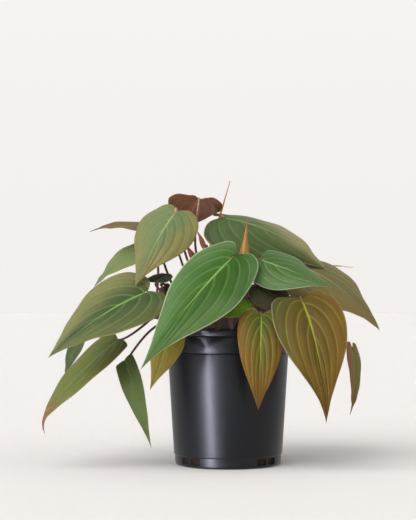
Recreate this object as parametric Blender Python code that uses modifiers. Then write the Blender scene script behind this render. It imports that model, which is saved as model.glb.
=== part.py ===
"""A potted heart-leaf philodendron: a black nursery pot, its potting mix, the rooted stems, the
heart-shaped leaves on their stalks, and the young leaves that are still rolled.

The origin is the middle of the pot's underside, +Z is up, and the side that is looked at faces -Y.
"""

import math
from dataclasses import dataclass

import bpy
from mathutils import Matrix, Quaternion, Vector

MM = 0.001
GAP = 0.0003

# The nursery pot: a thin moulded wall with a beaded lip, a proud collar and a stepped foot.
POT_HEIGHT = 0.127
LIP_RADIUS = 0.0595
COLLAR_RADIUS = 0.0588
BODY_TOP_RADIUS = 0.0580
FOOT_RADIUS = 0.0500
WALL = 0.0013
LIP_DEPTH = 0.0062
COLLAR_DEPTH = 0.0146
FOOT_HEIGHT = 0.0098
POT_SIDES = 56
DRAIN_PAIRS = 4
DRAIN_SPREAD = math.radians(7.5)
DRAIN_WIDTH = 0.0100
DRAIN_LOW = 0.0024
DRAIN_HIGH = 0.0088
DRAIN_REACH = 0.0120

# The potting mix fills the pot up to a little under the lip, and is domed slightly.
MIX_LEVEL = 0.1155
MIX_DOME = 0.0025
MIX_SIDES = 40

# Stems and leaf stalks.
STEM_RADIUS = 0.0020
STEM_POINTS = 11
STALK_RADIUS = 0.0012
STALK_POINTS = 8
STALK_RISE = 0.5

# A leaf blade: a heart outline, as (along, across) in parts of its length and of its half width.
HEART = (
    (0.0, 0.0),
    (-0.065, 0.12),
    (-0.120, 0.34),
    (-0.100, 0.64),
    (0.030, 0.90),
    (0.220, 1.00),
    (0.410, 0.89),
    (0.575, 0.66),
    (0.705, 0.42),
    (0.810, 0.24),
    (0.905, 0.11),
    (1.0, 0.0),
)
WIDEST = 0.22
BLADE_THICKNESS = 0.0008
BLADE_ROWS = 12
BLADE_COLUMNS = 2
MIDRIB_STEPS = 24
TIP_CURL_START = 0.80

STEM_RED = ("stem_red", (0.150, 0.055, 0.030), 0.55)
LEAF_GREEN = ("leaf_green", (0.095, 0.150, 0.055), 0.60)
LEAF_BRONZE = ("leaf_bronze", (0.165, 0.120, 0.050), 0.60)
YOUNG_LEAF = ("young_leaf", (0.330, 0.130, 0.050), 0.50)
SHEATH_PINK = ("sheath_pink", (0.420, 0.230, 0.160), 0.65)
POT_BLACK = ("pot_black", (0.018, 0.019, 0.023), 0.42)
POTTING_MIX = ("potting_mix", (0.035, 0.024, 0.017), 0.95)

# Each stem's route in millimetres, from where it is rooted to its growing end.
STEMS = {
    "stem_centre": ((-8, 8, 104), (-11, 9, 130), (-16, 7, 165), (-21, 2, 207)),
    "stem_front": ((3, -36, 104), (5, -37, 128), (16, -36, 148), (20, -33, 164)),
    "stem_left_front": ((-27, -20, 104), (-35, -24, 128), (-44, -24, 148), (-50, -22, 160)),
    "stem_left": ((-34, 4, 104), (-44, 4, 126), (-58, 2, 138), (-74, -4, 140)),
    "stem_right_front": ((26, -22, 104), (34, -28, 126), (44, -34, 140), (54, -38, 144)),
    "stem_right": ((33, 6, 104), (42, 9, 128), (54, 12, 150), (70, 12, 166)),
    "stem_back_left": ((-18, 28, 104), (-24, 38, 130), (-30, 46, 152), (-32, 50, 170)),
    "stem_back_right": ((16, 27, 104), (22, 38, 130), (30, 46, 150), (36, 52, 166)),
}


@dataclass
class Leaf:
    """One leaf, in millimetres and degrees.

    base is where the stalk meets the blade, tip is the blade's point, and facing is the way that the
    upper side looks. droop turns the midrib back from the facing side, sweep turns it sideways, fold
    lifts both halves to the facing side, cup bends them on towards their margins, twist turns the blade
    round its midrib, curl bends the last of the tip, lobes is how deep the heart's notch is, and taper
    narrows the blade before its tip. stem and at say where the stalk leaves, and via is a point on its way.
    """

    base: tuple
    tip: tuple
    facing: tuple
    width: float
    stem: str
    at: float
    droop: float = 30
    sweep: float = 0
    fold: float = 6
    cup: float = -14
    twist: float = 0
    curl: float = 0
    lobes: float = 1.0
    taper: float = 1.0
    bronze: bool = False
    via: tuple | None = None


LEAVES = {
    "leaf_01": Leaf(
        (4, -63, 194), (-77, -123, 94), (5, -88, 42), 67, "stem_front", 0.62,
        sweep=-4, fold=-18, cup=-10, lobes=1.05, taper=1.1,
    ),
    "leaf_02": Leaf(
        (28, -42, 192), (96, -62, 165), (14, -78, 54), 49, "stem_front", 0.78,
        droop=8, fold=-14, lobes=0.2, taper=1.2, via=(29, -31, 174),
    ),
    "leaf_03": Leaf(
        (-4, 10, 234), (96, 19, 183), (12, -66, 72), 88, "stem_centre", 0.50,
        droop=48, fold=-18, twist=20, lobes=1.0, via=(-2, 14, 190),
    ),
    "leaf_04": Leaf(
        (62, 16, 190), (144, 0, 126), (45, -60, 65), 86, "stem_right", 0.80,
        droop=50, fold=-6, bronze=True,
    ),
    "leaf_05": Leaf(
        (-28, 10, 251), (-46, 80, 220), (12, 30, 95), 53, "stem_centre", 0.68,
        fold=8, bronze=True, via=(-31, 8, 205),
    ),
    "leaf_06": Leaf(
        (-49, -20, 238), (-85, -60, 167), (-5, -86, 46), 60, "stem_centre", 0.45,
        sweep=-4, fold=-16, lobes=0.85, via=(-40, -6, 197),
    ),
    "leaf_07": Leaf(
        (-72, 2, 222), (-132, 5, 220), (-5, -25, 97), 44, "stem_left_front", 0.95,
        droop=40, via=(-58, -12, 182),
    ),
    "leaf_08": Leaf((-74, -2, 207), (-126, -15, 167), (-45, -50, 75), 44, "stem_left", 0.90),
    "leaf_09": Leaf(
        (-74, -60, 162), (-161, -80, 103), (-38, -73, 60), 75, "stem_left_front", 0.50,
        fold=6, cup=-8, lobes=0.7,
    ),
    "leaf_10": Leaf(
        (-103, -30, 118), (-169, -40, 32), (-50, -60, 60), 43, "stem_left", 0.98,
        droop=22, curl=60, lobes=0.2,
    ),
    "leaf_11": Leaf((-140, 2, 119), (-154, -3, 79), (-60, -50, 40), 24, "stem_left", 0.75),
    "leaf_12": Leaf(
        (-97, -20, 98), (-71, -40, 19), (-55, -80, 12), 25, "stem_left", 0.60,
        sweep=25, fold=10, lobes=0.1,
    ),
    "leaf_13": Leaf(
        (-51, -72, 127), (-70, -95, 75), (20, -90, 30), 29, "stem_left_front", 0.40,
        bronze=True, via=(-42, -48, 137),
    ),
    "leaf_14": Leaf(
        (29, -66, 141), (26, -66, 55), (0, -85, 40), 42, "stem_right_front", 0.40,
        droop=90, lobes=0.5, bronze=True, via=(31, -54, 137),
    ),
    "leaf_15": Leaf(
        (65, -68, 155), (86, -80, 44), (8, -88, 40), 65, "stem_right_front", 0.90,
        droop=85, lobes=0.4, taper=1.3, bronze=True, via=(61, -54, 142),
    ),
    "leaf_16": Leaf((116, -20, 108), (113, -25, 48), (85, -50, 5), 29, "stem_right", 0.40, bronze=True),
    "leaf_17": Leaf(
        (27, -47, 167), (64, -41, 141), (5, -80, 55), 36, "stem_front", 0.60,
        fold=0, bronze=True,
    ),
    "leaf_18": Leaf(
        (19, -55, 148), (-22, -59, 138), (0, -70, 70), 24, "stem_front", 0.20,
        via=(15, -48, 136),
    ),
    "leaf_19": Leaf(
        (-66, -42, 172), (-54, -18, 179), (0, -20, 98), 24, "stem_left_front", 0.62,
        via=(-56, -42, 157),
    ),
    "leaf_20": Leaf(
        (-60, -21, 166), (-57, -32, 150), (10, 70, 60), 16, "stem_left_front", 0.98,
        bronze=True, via=(-57, -16, 168),
    ),
    "leaf_21": Leaf(
        (-28, 66, 150), (-44, 100, 62), (-20, 85, 45), 60, "stem_back_left", 0.50,
        droop=60,
    ),
    "leaf_22": Leaf((17, 70, 162), (26, 112, 62), (15, 88, 40), 66, "stem_back_right", 0.50, droop=60),
    "leaf_23": Leaf(
        (46, 50, 184), (98, 88, 158), (45, 60, 65), 62, "stem_right", 0.60,
        droop=45, bronze=True,
    ),
    "leaf_24": Leaf((30, 60, 196), (52, 122, 150), (20, 70, 70), 62, "stem_back_right", 0.90, droop=45),
    "leaf_25": Leaf(
        (-52, 42, 214), (-84, 96, 190), (-35, 65, 65), 52, "stem_back_left", 0.95,
        droop=45,
    ),
    "leaf_26": Leaf((-90, 40, 148), (-128, 80, 110), (-60, 55, 50), 50, "stem_left", 0.60, droop=45),
    "leaf_27": Leaf((62, 44, 150), (100, 84, 96), (55, 70, 40), 52, "stem_right", 0.25, droop=50),
    "leaf_28": Leaf(
        (13, 54, 218), (18, 112, 190), (5, 55, 80), 52, "stem_centre", 0.92,
        droop=45, bronze=True, via=(-6, 32, 206),
    ),
    "leaf_29": Leaf(
        (-27, 60, 172), (-44, 108, 112), (-30, 75, 55), 48, "stem_back_left", 0.75,
        droop=50,
    ),
}













# The young leaves that are still rolled: their routes in millimetres, and the roll's greatest radius.
SPIKES = {
    "young_leaf_1": (((19, -33, 168), (16, -26, 184), (15, -24, 200), (18, -26, 231)), 5.4),
    "young_leaf_2": (((-26, 62, 176), (-18, 62, 204), (-8, 60, 236), (3, 52, 273)), 1.4),
    "young_leaf_3": (((70, 15, 168), (82, 34, 174), (102, 54, 188), (124, 48, 187)), 1.1),
}
SPIKE_POINTS = 9
SPIKE_POINT = 0.4
SPIKE_SWELL = 0.55

# The sheaths, laid out as narrow blades.
SHEATHS = {
    "sheath_1": Leaf((-31, -3, 190), (-41, -6, 208), (20, -90, 10), 8, "", 0, fold=40),
    "sheath_2": Leaf((-23, -2, 205), (-29, -2, 220), (10, -90, 10), 6, "", 0, fold=40),
    "sheath_3": Leaf((22, -41, 138), (25, -42, 159), (10, -90, 10), 6, "", 0, fold=30),
}












SHEATH_ROWS = 8


def clear_scene():
    for old in list(bpy.data.objects):
        bpy.data.objects.remove(old, do_unlink=True)


def new_collection(name, rendered=True):
    made = bpy.data.collections.new(name)
    made.hide_render = not rendered
    bpy.context.scene.collection.children.link(made)
    return made


def finish_material(name, colour, roughness):
    """The Principled material of one sub-part."""
    made = bpy.data.materials.new(name)
    made.use_nodes = True
    shader = made.node_tree.nodes["Principled BSDF"]
    shader.inputs["Base Color"].default_value = (*colour, 1.0)
    shader.inputs["Roughness"].default_value = roughness
    shader.inputs["Metallic"].default_value = 0.0
    made.diffuse_color = (*colour, 1.0)
    return made


def mesh_object(name, points, faces, collection, finish=None):
    mesh = bpy.data.meshes.new(name)
    mesh.from_pydata(points, [], faces)
    mesh.update()
    made = bpy.data.objects.new(name, mesh)
    collection.objects.link(made)
    if finish:
        mesh.materials.append(finish_material(name, *finish[1:]))
    return made


def as_guide(obj):
    obj.hide_render = True
    obj.display_type = "WIRE"


def turned(name, profile, sides, collection, finish=None):
    """A solid turned round Z from a closed profile of (radius, height) points, outer side first."""
    count = len(profile)
    points = [(radius, 0.0, height) for radius, height in profile]
    edges = [(i, (i + 1) % count) for i in range(count)]
    on_axis = [i for i, (radius, _) in enumerate(profile) if radius == 0.0]
    if len(on_axis) == 2:
        first, last = on_axis
        edges.remove((first, last) if last == first + 1 else (last, first))
    mesh = bpy.data.meshes.new(name)
    mesh.from_pydata(points, edges, [])
    made = bpy.data.objects.new(name, mesh)
    collection.objects.link(made)
    if finish:
        mesh.materials.append(finish_material(name, *finish[1:]))
    screw = made.modifiers.new("turn", "SCREW")
    screw.steps = sides
    screw.render_steps = sides
    screw.use_merge_vertices = True
    screw.merge_threshold = 0.00001
    screw.use_smooth_shade = True
    return made


def tube(name, points, radii, sides_level, collection, finish=None):
    """A tube with filled caps along the points, its radius given at each."""
    curve = bpy.data.curves.new(name, "CURVE")
    curve.dimensions = "3D"
    curve.bevel_depth = 1.0
    curve.bevel_resolution = sides_level
    curve.use_fill_caps = True
    spline = curve.splines.new("POLY")
    spline.points.add(len(points) - 1)
    for slot, point, radius in zip(spline.points, points, radii):
        slot.co = (*point, 1.0)
        slot.radius = radius
    made = bpy.data.objects.new(name, curve)
    collection.objects.link(made)
    if finish:
        curve.materials.append(finish_material(name, *finish[1:]))
    return made


def as_mesh(obj, collection):
    """The evaluated object as a welded mesh object of its own, in place of a curve."""
    bpy.context.view_layer.update()
    graph = bpy.context.evaluated_depsgraph_get()
    mesh = bpy.data.meshes.new_from_object(obj.evaluated_get(graph))
    name = obj.name
    bpy.data.objects.remove(obj, do_unlink=True)
    made = bpy.data.objects.new(name, mesh)
    mesh.name = name
    collection.objects.link(made)
    weld = made.modifiers.new("weld", "WELD")
    weld.merge_threshold = 0.00001
    return made


def boolean(obj, operation, other):
    cut = obj.modifiers.new(other.name, "BOOLEAN")
    cut.operation = operation
    cut.solver = "EXACT"
    cut.object = other


def smooth_route(points, count):
    """count points spread evenly in parameter along the smooth curve through the given points."""
    stops = [Vector(point) for point in points]
    ends = [2 * stops[0] - stops[1], *stops, 2 * stops[-1] - stops[-2]]
    route = []
    for i in range(count):
        place = i / (count - 1) * (len(stops) - 1)
        span = min(int(place), len(stops) - 2)
        route.append(spline_point(ends[span : span + 4], place - span))
    return route


def spline_point(four, part):
    """The Catmull-Rom point between the second and third of four points."""
    before, start, end, after = four
    return 0.5 * (
        2 * start
        + (end - before) * part
        + (2 * before - 5 * start + 4 * end - after) * part**2
        + (3 * start - before - 3 * end + after) * part**3
    )


def make_pot(parts, cutters):
    """The moulded wall and base, with pairs of drain slots through the wall of the foot."""
    under_lip = POT_HEIGHT - LIP_DEPTH
    under_collar = under_lip - COLLAR_DEPTH
    foot_step = 0.0009
    inner_foot = FOOT_RADIUS - WALL
    profile = (
        (LIP_RADIUS - 0.0008, POT_HEIGHT),
        (LIP_RADIUS, POT_HEIGHT - 0.0010),
        (LIP_RADIUS, under_lip + 0.0008),
        (LIP_RADIUS - 0.0012, under_lip),
        (COLLAR_RADIUS, under_lip - 0.0008),
        (COLLAR_RADIUS - 0.0004, under_collar),
        (BODY_TOP_RADIUS - 0.0009, under_collar - 0.0012),
        (FOOT_RADIUS + 0.0012, FOOT_HEIGHT + 0.0006),
        (FOOT_RADIUS + 0.0012 - foot_step, FOOT_HEIGHT - 0.0004),
        (FOOT_RADIUS, 0.0018),
        (FOOT_RADIUS - 0.0015, 0.0),
        (0.0, 0.0),
        (0.0, WALL),
        (inner_foot - 0.0012, WALL),
        (inner_foot, 0.0030),
        (inner_foot + 0.0010, FOOT_HEIGHT),
        (BODY_TOP_RADIUS - 0.0009 - WALL, under_collar - 0.0012),
        (COLLAR_RADIUS - WALL, under_lip),
        (LIP_RADIUS - 0.0020, POT_HEIGHT),
    )
    pot = turned("pot", profile, POT_SIDES, parts, POT_BLACK)
    for pair in range(DRAIN_PAIRS):
        middle = 2 * math.pi * (pair + 0.5) / DRAIN_PAIRS
        for side, name in ((-1, "a"), (1, "b")):
            cutter = drain_slot(f"drain_slot_{pair + 1}{name}", middle + side * DRAIN_SPREAD, cutters)
            boolean(pot, "DIFFERENCE", cutter)


def drain_slot(name, angle, cutters):
    """A block that cuts one slot through the foot's wall."""
    bpy.ops.mesh.primitive_cube_add(size=1.0)
    block = bpy.context.active_object
    block.name = name
    for vertex in block.data.vertices:
        vertex.co.x *= DRAIN_REACH
        vertex.co.y *= DRAIN_WIDTH
        vertex.co.z *= DRAIN_HIGH - DRAIN_LOW
    middle = 0.5 * (DRAIN_LOW + DRAIN_HIGH)
    block.location = (FOOT_RADIUS * math.cos(angle), FOOT_RADIUS * math.sin(angle), middle)
    block.rotation_euler = (0.0, 0.0, angle)
    for owner in list(block.users_collection):
        owner.objects.unlink(block)
    cutters.objects.link(block)
    as_guide(block)
    return block


def make_mix(parts, cutters):
    """The potting mix, clear of the pot's wall, with a socket for each rooted stem."""
    wall_gap = WALL + 2 * GAP
    edge = BODY_TOP_RADIUS - wall_gap - 0.0014
    profile = (
        (0.0, MIX_LEVEL + MIX_DOME),
        (0.6 * edge, MIX_LEVEL + 0.7 * MIX_DOME),
        (edge, MIX_LEVEL - 0.0010),
        (edge, MIX_LEVEL - 0.0080),
        (FOOT_RADIUS - wall_gap, FOOT_HEIGHT + 0.0010),
        (FOOT_RADIUS - wall_gap - 0.0020, WALL + 2 * GAP + 0.0030),
        (FOOT_RADIUS - wall_gap - 0.0040, WALL + GAP),
        (0.0, WALL + GAP),
    )
    mix = turned("potting_mix", profile, MIX_SIDES, parts, POTTING_MIX)
    for name, stops in STEMS.items():
        foot = Vector(stops[0]) * MM
        socket = tube(
            f"{name}_socket",
            (foot + Vector((0, 0, -2 * GAP)), foot + Vector((0, 0, 0.03))),
            (STEM_RADIUS + GAP, STEM_RADIUS + GAP),
            2,
            cutters,
        )
        socket = as_mesh(socket, cutters)
        as_guide(socket)
        boolean(mix, "DIFFERENCE", socket)


def stem_route(name, count):
    """A stem's points: straight up out of the mix, then along its route."""
    stops = [Vector(stop) * MM for stop in STEMS[name]]
    rooted = stops[0].copy()
    surface = rooted + Vector((0, 0, MIX_LEVEL + MIX_DOME + 0.001 - rooted.z))
    return [rooted, *smooth_route([surface, *stops[1:]], count - 1)]


def make_stems(parts):
    for name in STEMS:
        route = stem_route(name, STEM_POINTS)
        radii = [STEM_RADIUS * (1.0 - 0.25 * i / (STEM_POINTS - 1)) for i in range(STEM_POINTS)]
        tube(name, route, radii, 2, parts, STEM_RED)


def heart_margin(rows):
    """The outline's (along, across) points for one half, rows + 1 of them on a smooth curve."""
    outline = [Vector((*point, 0.0)) for point in HEART]
    ends = [Vector((-HEART[1][0], -HEART[1][1], 0.0)), *outline, Vector((1.03, -0.04, 0.0))]
    margin = []
    for row in range(rows + 1):
        place = row / rows * (len(outline) - 1)
        span = min(int(place), len(outline) - 2)
        point = spline_point(ends[span : span + 4], place - span)
        margin.append((point.x, max(point.y, 0.0)))
    return margin


def midrib_frames(leaf):
    """The midrib as (along, point, forward, side, up), bent by its angles and laid from base to tip."""
    base = Vector(leaf.base) * MM
    chord = Vector(leaf.tip) * MM - base
    forward = chord.normalized()
    facing = Vector(leaf.facing)
    up = (facing - facing.dot(forward) * forward).normalized()
    side = up.cross(forward)
    lay = Matrix((forward, side, up)).transposed()
    ways, points = [], [Vector()]
    for step in range(MIDRIB_STEPS + 1):
        along = step / MIDRIB_STEPS
        curl = max(0.0, along - TIP_CURL_START) / (1.0 - TIP_CURL_START)
        pitch = math.radians(leaf.droop * (0.5 - along) - leaf.curl * curl)
        yaw = math.radians(leaf.sweep * (0.5 - along))
        level = math.cos(pitch)
        ways.append(Vector((level * math.cos(yaw), level * math.sin(yaw), math.sin(pitch))))
    for before, after in zip(ways, ways[1:]):
        points.append(points[-1] + (before + after) / (2 * MIDRIB_STEPS))
    straight = points[-1].rotation_difference(Vector((1, 0, 0)))
    size = chord.length / points[-1].length
    frames = []
    for step, (way, point) in enumerate(zip(ways, points)):
        along = step / MIDRIB_STEPS
        local_forward = straight @ way
        local_side = Vector((0, 0, 1)).cross(local_forward).normalized()
        local_side.rotate(Quaternion(local_forward, math.radians(leaf.twist * (along - 0.5))))
        place = base + lay @ (size * (straight @ point))
        frames.append((place, lay @ local_forward, lay @ local_side, lay @ local_forward.cross(local_side)))
    return frames, size


def blade_point(leaf, frames, size, along, across):
    """The point of the upper face at along (in lengths) and across (in half widths, signed)."""
    place = min(max(along, 0.0), 1.0) * MIDRIB_STEPS
    step = min(int(place), MIDRIB_STEPS - 1)
    part = place - step
    point, forward, side, up = (a.lerp(b, part) for a, b in zip(frames[step], frames[step + 1]))
    if along < 0.0:
        point = point + forward * (along * leaf.lobes * size)
    half = 0.5 * leaf.width * MM
    if along > WIDEST:
        across = math.copysign(abs(across) ** leaf.taper, across)
    fold = math.radians(leaf.fold)
    cup = math.radians(leaf.cup) + 1e-6
    reach = abs(across)
    out = (math.sin(fold + cup * reach) - math.sin(fold)) / cup
    lift = (math.cos(fold) - math.cos(fold + cup * reach)) / cup
    return point + half * (math.copysign(out, across) * side + lift * up)


def blade_surface(leaf, rows, columns):
    """The upper face as points and faces: rows run from stalk to tip, columns from margin to margin."""
    frames, size = midrib_frames(leaf)
    margin = heart_margin(rows)
    points = [blade_point(leaf, frames, size, 0.0, 0.0)]
    for row in range(1, rows):
        middle = (row / rows) ** 2
        along_edge, across_edge = margin[row]
        for column in range(-columns, columns + 1):
            part = abs(column) / columns
            along = middle + (along_edge - middle) * part
            points.append(blade_point(leaf, frames, size, along, across_edge * column / columns))
    points.append(blade_point(leaf, frames, size, 1.0, 0.0))
    wide = 2 * columns + 1
    last = len(points) - 1
    faces = []
    for column in range(wide - 1):
        faces.append((0, 1 + column, 2 + column))
        end = 1 + (rows - 2) * wide + column
        faces.append((end, last, end + 1))
        for row in range(rows - 2):
            corner = 1 + row * wide + column
            faces.append((corner, corner + wide, corner + wide + 1, corner + 1))
    return points, faces


def stalk_route(leaf, count):
    """The leaf stalk: out of the side of its stem, up and over, and into the blade from behind."""
    stops = stem_route(leaf.stem, STEM_POINTS)
    place = leaf.at * (STEM_POINTS - 1)
    span = min(int(place), STEM_POINTS - 2)
    node = stops[span].lerp(stops[span + 1], place - span)
    along_stem = (stops[span + 1] - stops[span]).normalized()
    base = Vector(leaf.base) * MM
    forward = (Vector(leaf.tip) * MM - base).normalized()
    facing = Vector(leaf.facing)
    up = (facing - facing.dot(forward) * forward).normalized()
    reach = (base - node).length
    end = base + forward * 0.0015 + up * 0.0002
    target = Vector(leaf.via) * MM if leaf.via else base
    away = target - node
    away = (away - away.dot(along_stem) * along_stem).normalized()
    start = node + away * (STEM_RADIUS + STALK_RADIUS + GAP)
    if leaf.via:
        return smooth_route((start, target, base - up * 0.004 - forward * 0.002, end), count)
    leave = (away * (1.0 - STALK_RISE) + Vector((0, 0, STALK_RISE))).normalized()
    first = start + leave * (0.35 * reach)
    second = base - up * (0.25 * reach) - forward * (0.10 * reach)
    route = []
    for i in range(count):
        t = i / (count - 1)
        near = (1 - t) ** 3 * start + 3 * (1 - t) ** 2 * t * first
        route.append(near + 3 * (1 - t) * t**2 * second + t**3 * end)
    return route


def spike_route(spike):
    """A rolled young leaf's points and radii: a stalk, then the roll, drawn out to a point."""
    stops, thickest = spike
    route = smooth_route([Vector(stop) * MM for stop in stops], SPIKE_POINTS)
    radii = []
    for index in range(SPIKE_POINTS):
        part = index / (SPIKE_POINTS - 1)
        slope = SPIKE_SWELL if part < SPIKE_SWELL else 1.0 - SPIKE_SWELL
        swell = max(0.0, 1.0 - abs(part - SPIKE_SWELL) / slope)
        radii.append(MM * (SPIKE_POINT + (thickest - SPIKE_POINT) * swell))
    return route, radii


def make_spikes(parts):
    for name, spike in SPIKES.items():
        route, radii = spike_route(spike)
        tube(name, route, radii, 2, parts, YOUNG_LEAF)


def make_sheaths(parts):
    """The papery sheaths that a new leaf leaves behind at its node."""
    for name, sheath in SHEATHS.items():
        points, faces = blade_surface(sheath, SHEATH_ROWS, 1)
        husk = mesh_object(name, points, faces, parts, SHEATH_PINK)
        shell = husk.modifiers.new("thickness", "SOLIDIFY")
        shell.thickness = 0.75 * BLADE_THICKNESS
        shell.offset = -1.0


def make_leaf(name, leaf, parts, cutters):
    """One blade with its stalk, joined into one solid."""
    points, faces = blade_surface(leaf, BLADE_ROWS, BLADE_COLUMNS)
    blade = mesh_object(name, points, faces, parts, LEAF_BRONZE if leaf.bronze else LEAF_GREEN)
    shell = blade.modifiers.new("thickness", "SOLIDIFY")
    shell.thickness = BLADE_THICKNESS
    shell.offset = -1.0
    stalk = tube(f"{name}_stalk", stalk_route(leaf, STALK_POINTS), [STALK_RADIUS] * STALK_POINTS, 1, cutters)
    stalk = as_mesh(stalk, cutters)
    as_guide(stalk)
    boolean(blade, "UNION", stalk)
    return blade


def main():
    clear_scene()
    parts = new_collection("potted_philodendron")
    cutters = new_collection("cutters", rendered=False)
    make_pot(parts, cutters)
    make_mix(parts, cutters)
    make_stems(parts)
    for name, leaf in LEAVES.items():
        make_leaf(name, leaf, parts, cutters)
    make_spikes(parts)
    make_sheaths(parts)


if __name__ == "__main__":
    main()
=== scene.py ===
"""The finished look of a potted heart-leaf philodendron, built round its packed solids.

Everything is in metres, in the frame's own axes: +Z is up and the side that is looked at faces -Y.
Each leaf, stem, young leaf and sheath repeats its solid's route and outline on a finer mesh, and the pot,
the potting mix and what lies on it are made anew inside their solids' boxes.
"""

import math
import random
from dataclasses import dataclass

import bmesh
import bpy
from mathutils import Matrix, Quaternion, Vector, noise


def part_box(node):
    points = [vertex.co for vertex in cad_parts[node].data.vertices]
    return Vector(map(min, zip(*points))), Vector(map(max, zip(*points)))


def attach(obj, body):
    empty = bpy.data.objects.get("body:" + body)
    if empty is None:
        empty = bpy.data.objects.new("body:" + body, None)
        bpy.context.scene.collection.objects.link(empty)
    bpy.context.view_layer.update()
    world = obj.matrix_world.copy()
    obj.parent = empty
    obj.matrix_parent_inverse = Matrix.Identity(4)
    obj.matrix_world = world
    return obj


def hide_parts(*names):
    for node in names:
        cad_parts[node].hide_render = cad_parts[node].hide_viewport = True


bl_info = {
    "name": "Potted Philodendron",
    "version": (1, 0, 0),
    "blender": (4, 5, 0),
    "location": "View3D > Sidebar > Philodendron",
    "description": "Builds a heart-leaf philodendron in its nursery pot, piece by piece",
    "category": "Add Mesh",
}

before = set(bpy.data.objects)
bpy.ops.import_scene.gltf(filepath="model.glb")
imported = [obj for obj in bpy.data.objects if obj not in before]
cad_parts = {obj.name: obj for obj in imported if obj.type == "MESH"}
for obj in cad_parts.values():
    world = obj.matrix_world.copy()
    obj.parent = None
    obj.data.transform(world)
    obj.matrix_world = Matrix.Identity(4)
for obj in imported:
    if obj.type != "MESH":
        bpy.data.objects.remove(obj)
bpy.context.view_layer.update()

MM = 0.001
POT_LOW, POT_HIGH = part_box("pot")
MIX_LOW, MIX_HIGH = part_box("potting_mix")

# The nursery pot's own sizes, down from its lip.
POT_HEIGHT = POT_HIGH.z
LIP_RADIUS = 0.5 * (POT_HIGH.x - POT_LOW.x)
COLLAR_RADIUS = LIP_RADIUS - 0.0007
BODY_TOP_RADIUS = LIP_RADIUS - 0.0015
FOOT_RADIUS = LIP_RADIUS - 0.0095
WALL = 0.0013
LIP_DEPTH = 0.0062
COLLAR_DEPTH = 0.0146
FOOT_HEIGHT = 0.0098
DRAIN_PAIRS = 4
DRAIN_SPREAD = math.radians(7.5)
DRAIN_WIDTH = 0.0100
DRAIN_LOW = 0.0024
DRAIN_HIGH = 0.0088
DRAIN_REACH = 0.0120

# The potting mix.
GAP = 0.0003
MIX_DOME = 0.0025
MIX_LEVEL = MIX_HIGH.z - MIX_DOME + 0.0016
MIX_RADIUS = 0.5 * (MIX_HIGH.x - MIX_LOW.x)

# Stems and leaf stalks.
STEM_RADIUS = 0.0020
STEM_POINTS = 11
STALK_RADIUS = 0.0012
STALK_RISE = 0.5

# A leaf blade: a heart outline, as (along, across) in parts of its length and of its half width.
HEART = (
    (0.0, 0.0),
    (-0.065, 0.12),
    (-0.120, 0.34),
    (-0.100, 0.64),
    (0.030, 0.90),
    (0.220, 1.00),
    (0.410, 0.89),
    (0.575, 0.66),
    (0.705, 0.42),
    (0.810, 0.24),
    (0.905, 0.11),
    (1.0, 0.0),
)
WIDEST = 0.22
MIDRIB_STEPS = 24
TIP_CURL_START = 0.80

# Each stem's route in millimetres, from where it is rooted to its growing end.
STEMS = {
    "stem_centre": ((-8, 8, 104), (-11, 9, 130), (-16, 7, 165), (-21, 2, 207)),
    "stem_front": ((3, -36, 104), (5, -37, 128), (16, -36, 148), (20, -33, 164)),
    "stem_left_front": ((-27, -20, 104), (-35, -24, 128), (-44, -24, 148), (-50, -22, 160)),
    "stem_left": ((-34, 4, 104), (-44, 4, 126), (-58, 2, 138), (-74, -4, 140)),
    "stem_right_front": ((26, -22, 104), (34, -28, 126), (44, -34, 140), (54, -38, 144)),
    "stem_right": ((33, 6, 104), (42, 9, 128), (54, 12, 150), (70, 12, 166)),
    "stem_back_left": ((-18, 28, 104), (-24, 38, 130), (-30, 46, 152), (-32, 50, 170)),
    "stem_back_right": ((16, 27, 104), (22, 38, 130), (30, 46, 150), (36, 52, 166)),
}


@dataclass
class Leaf:
    """One leaf, in millimetres and degrees.

    base is where the stalk meets the blade, tip is the blade's point, and facing is the way that the
    upper side looks. droop turns the midrib back from the facing side, sweep turns it sideways, fold
    lifts both halves to the facing side, cup bends them on towards their margins, twist turns the blade
    round its midrib, curl bends the last of the tip, lobes is how deep the heart's notch is, and taper
    narrows the blade before its tip. stem and at say where the stalk leaves, and via is a point on its way.
    """

    base: tuple
    tip: tuple
    facing: tuple
    width: float
    stem: str
    at: float
    droop: float = 30
    sweep: float = 0
    fold: float = 6
    cup: float = -14
    twist: float = 0
    curl: float = 0
    lobes: float = 1.0
    taper: float = 1.0
    bronze: bool = False
    via: tuple | None = None


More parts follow.
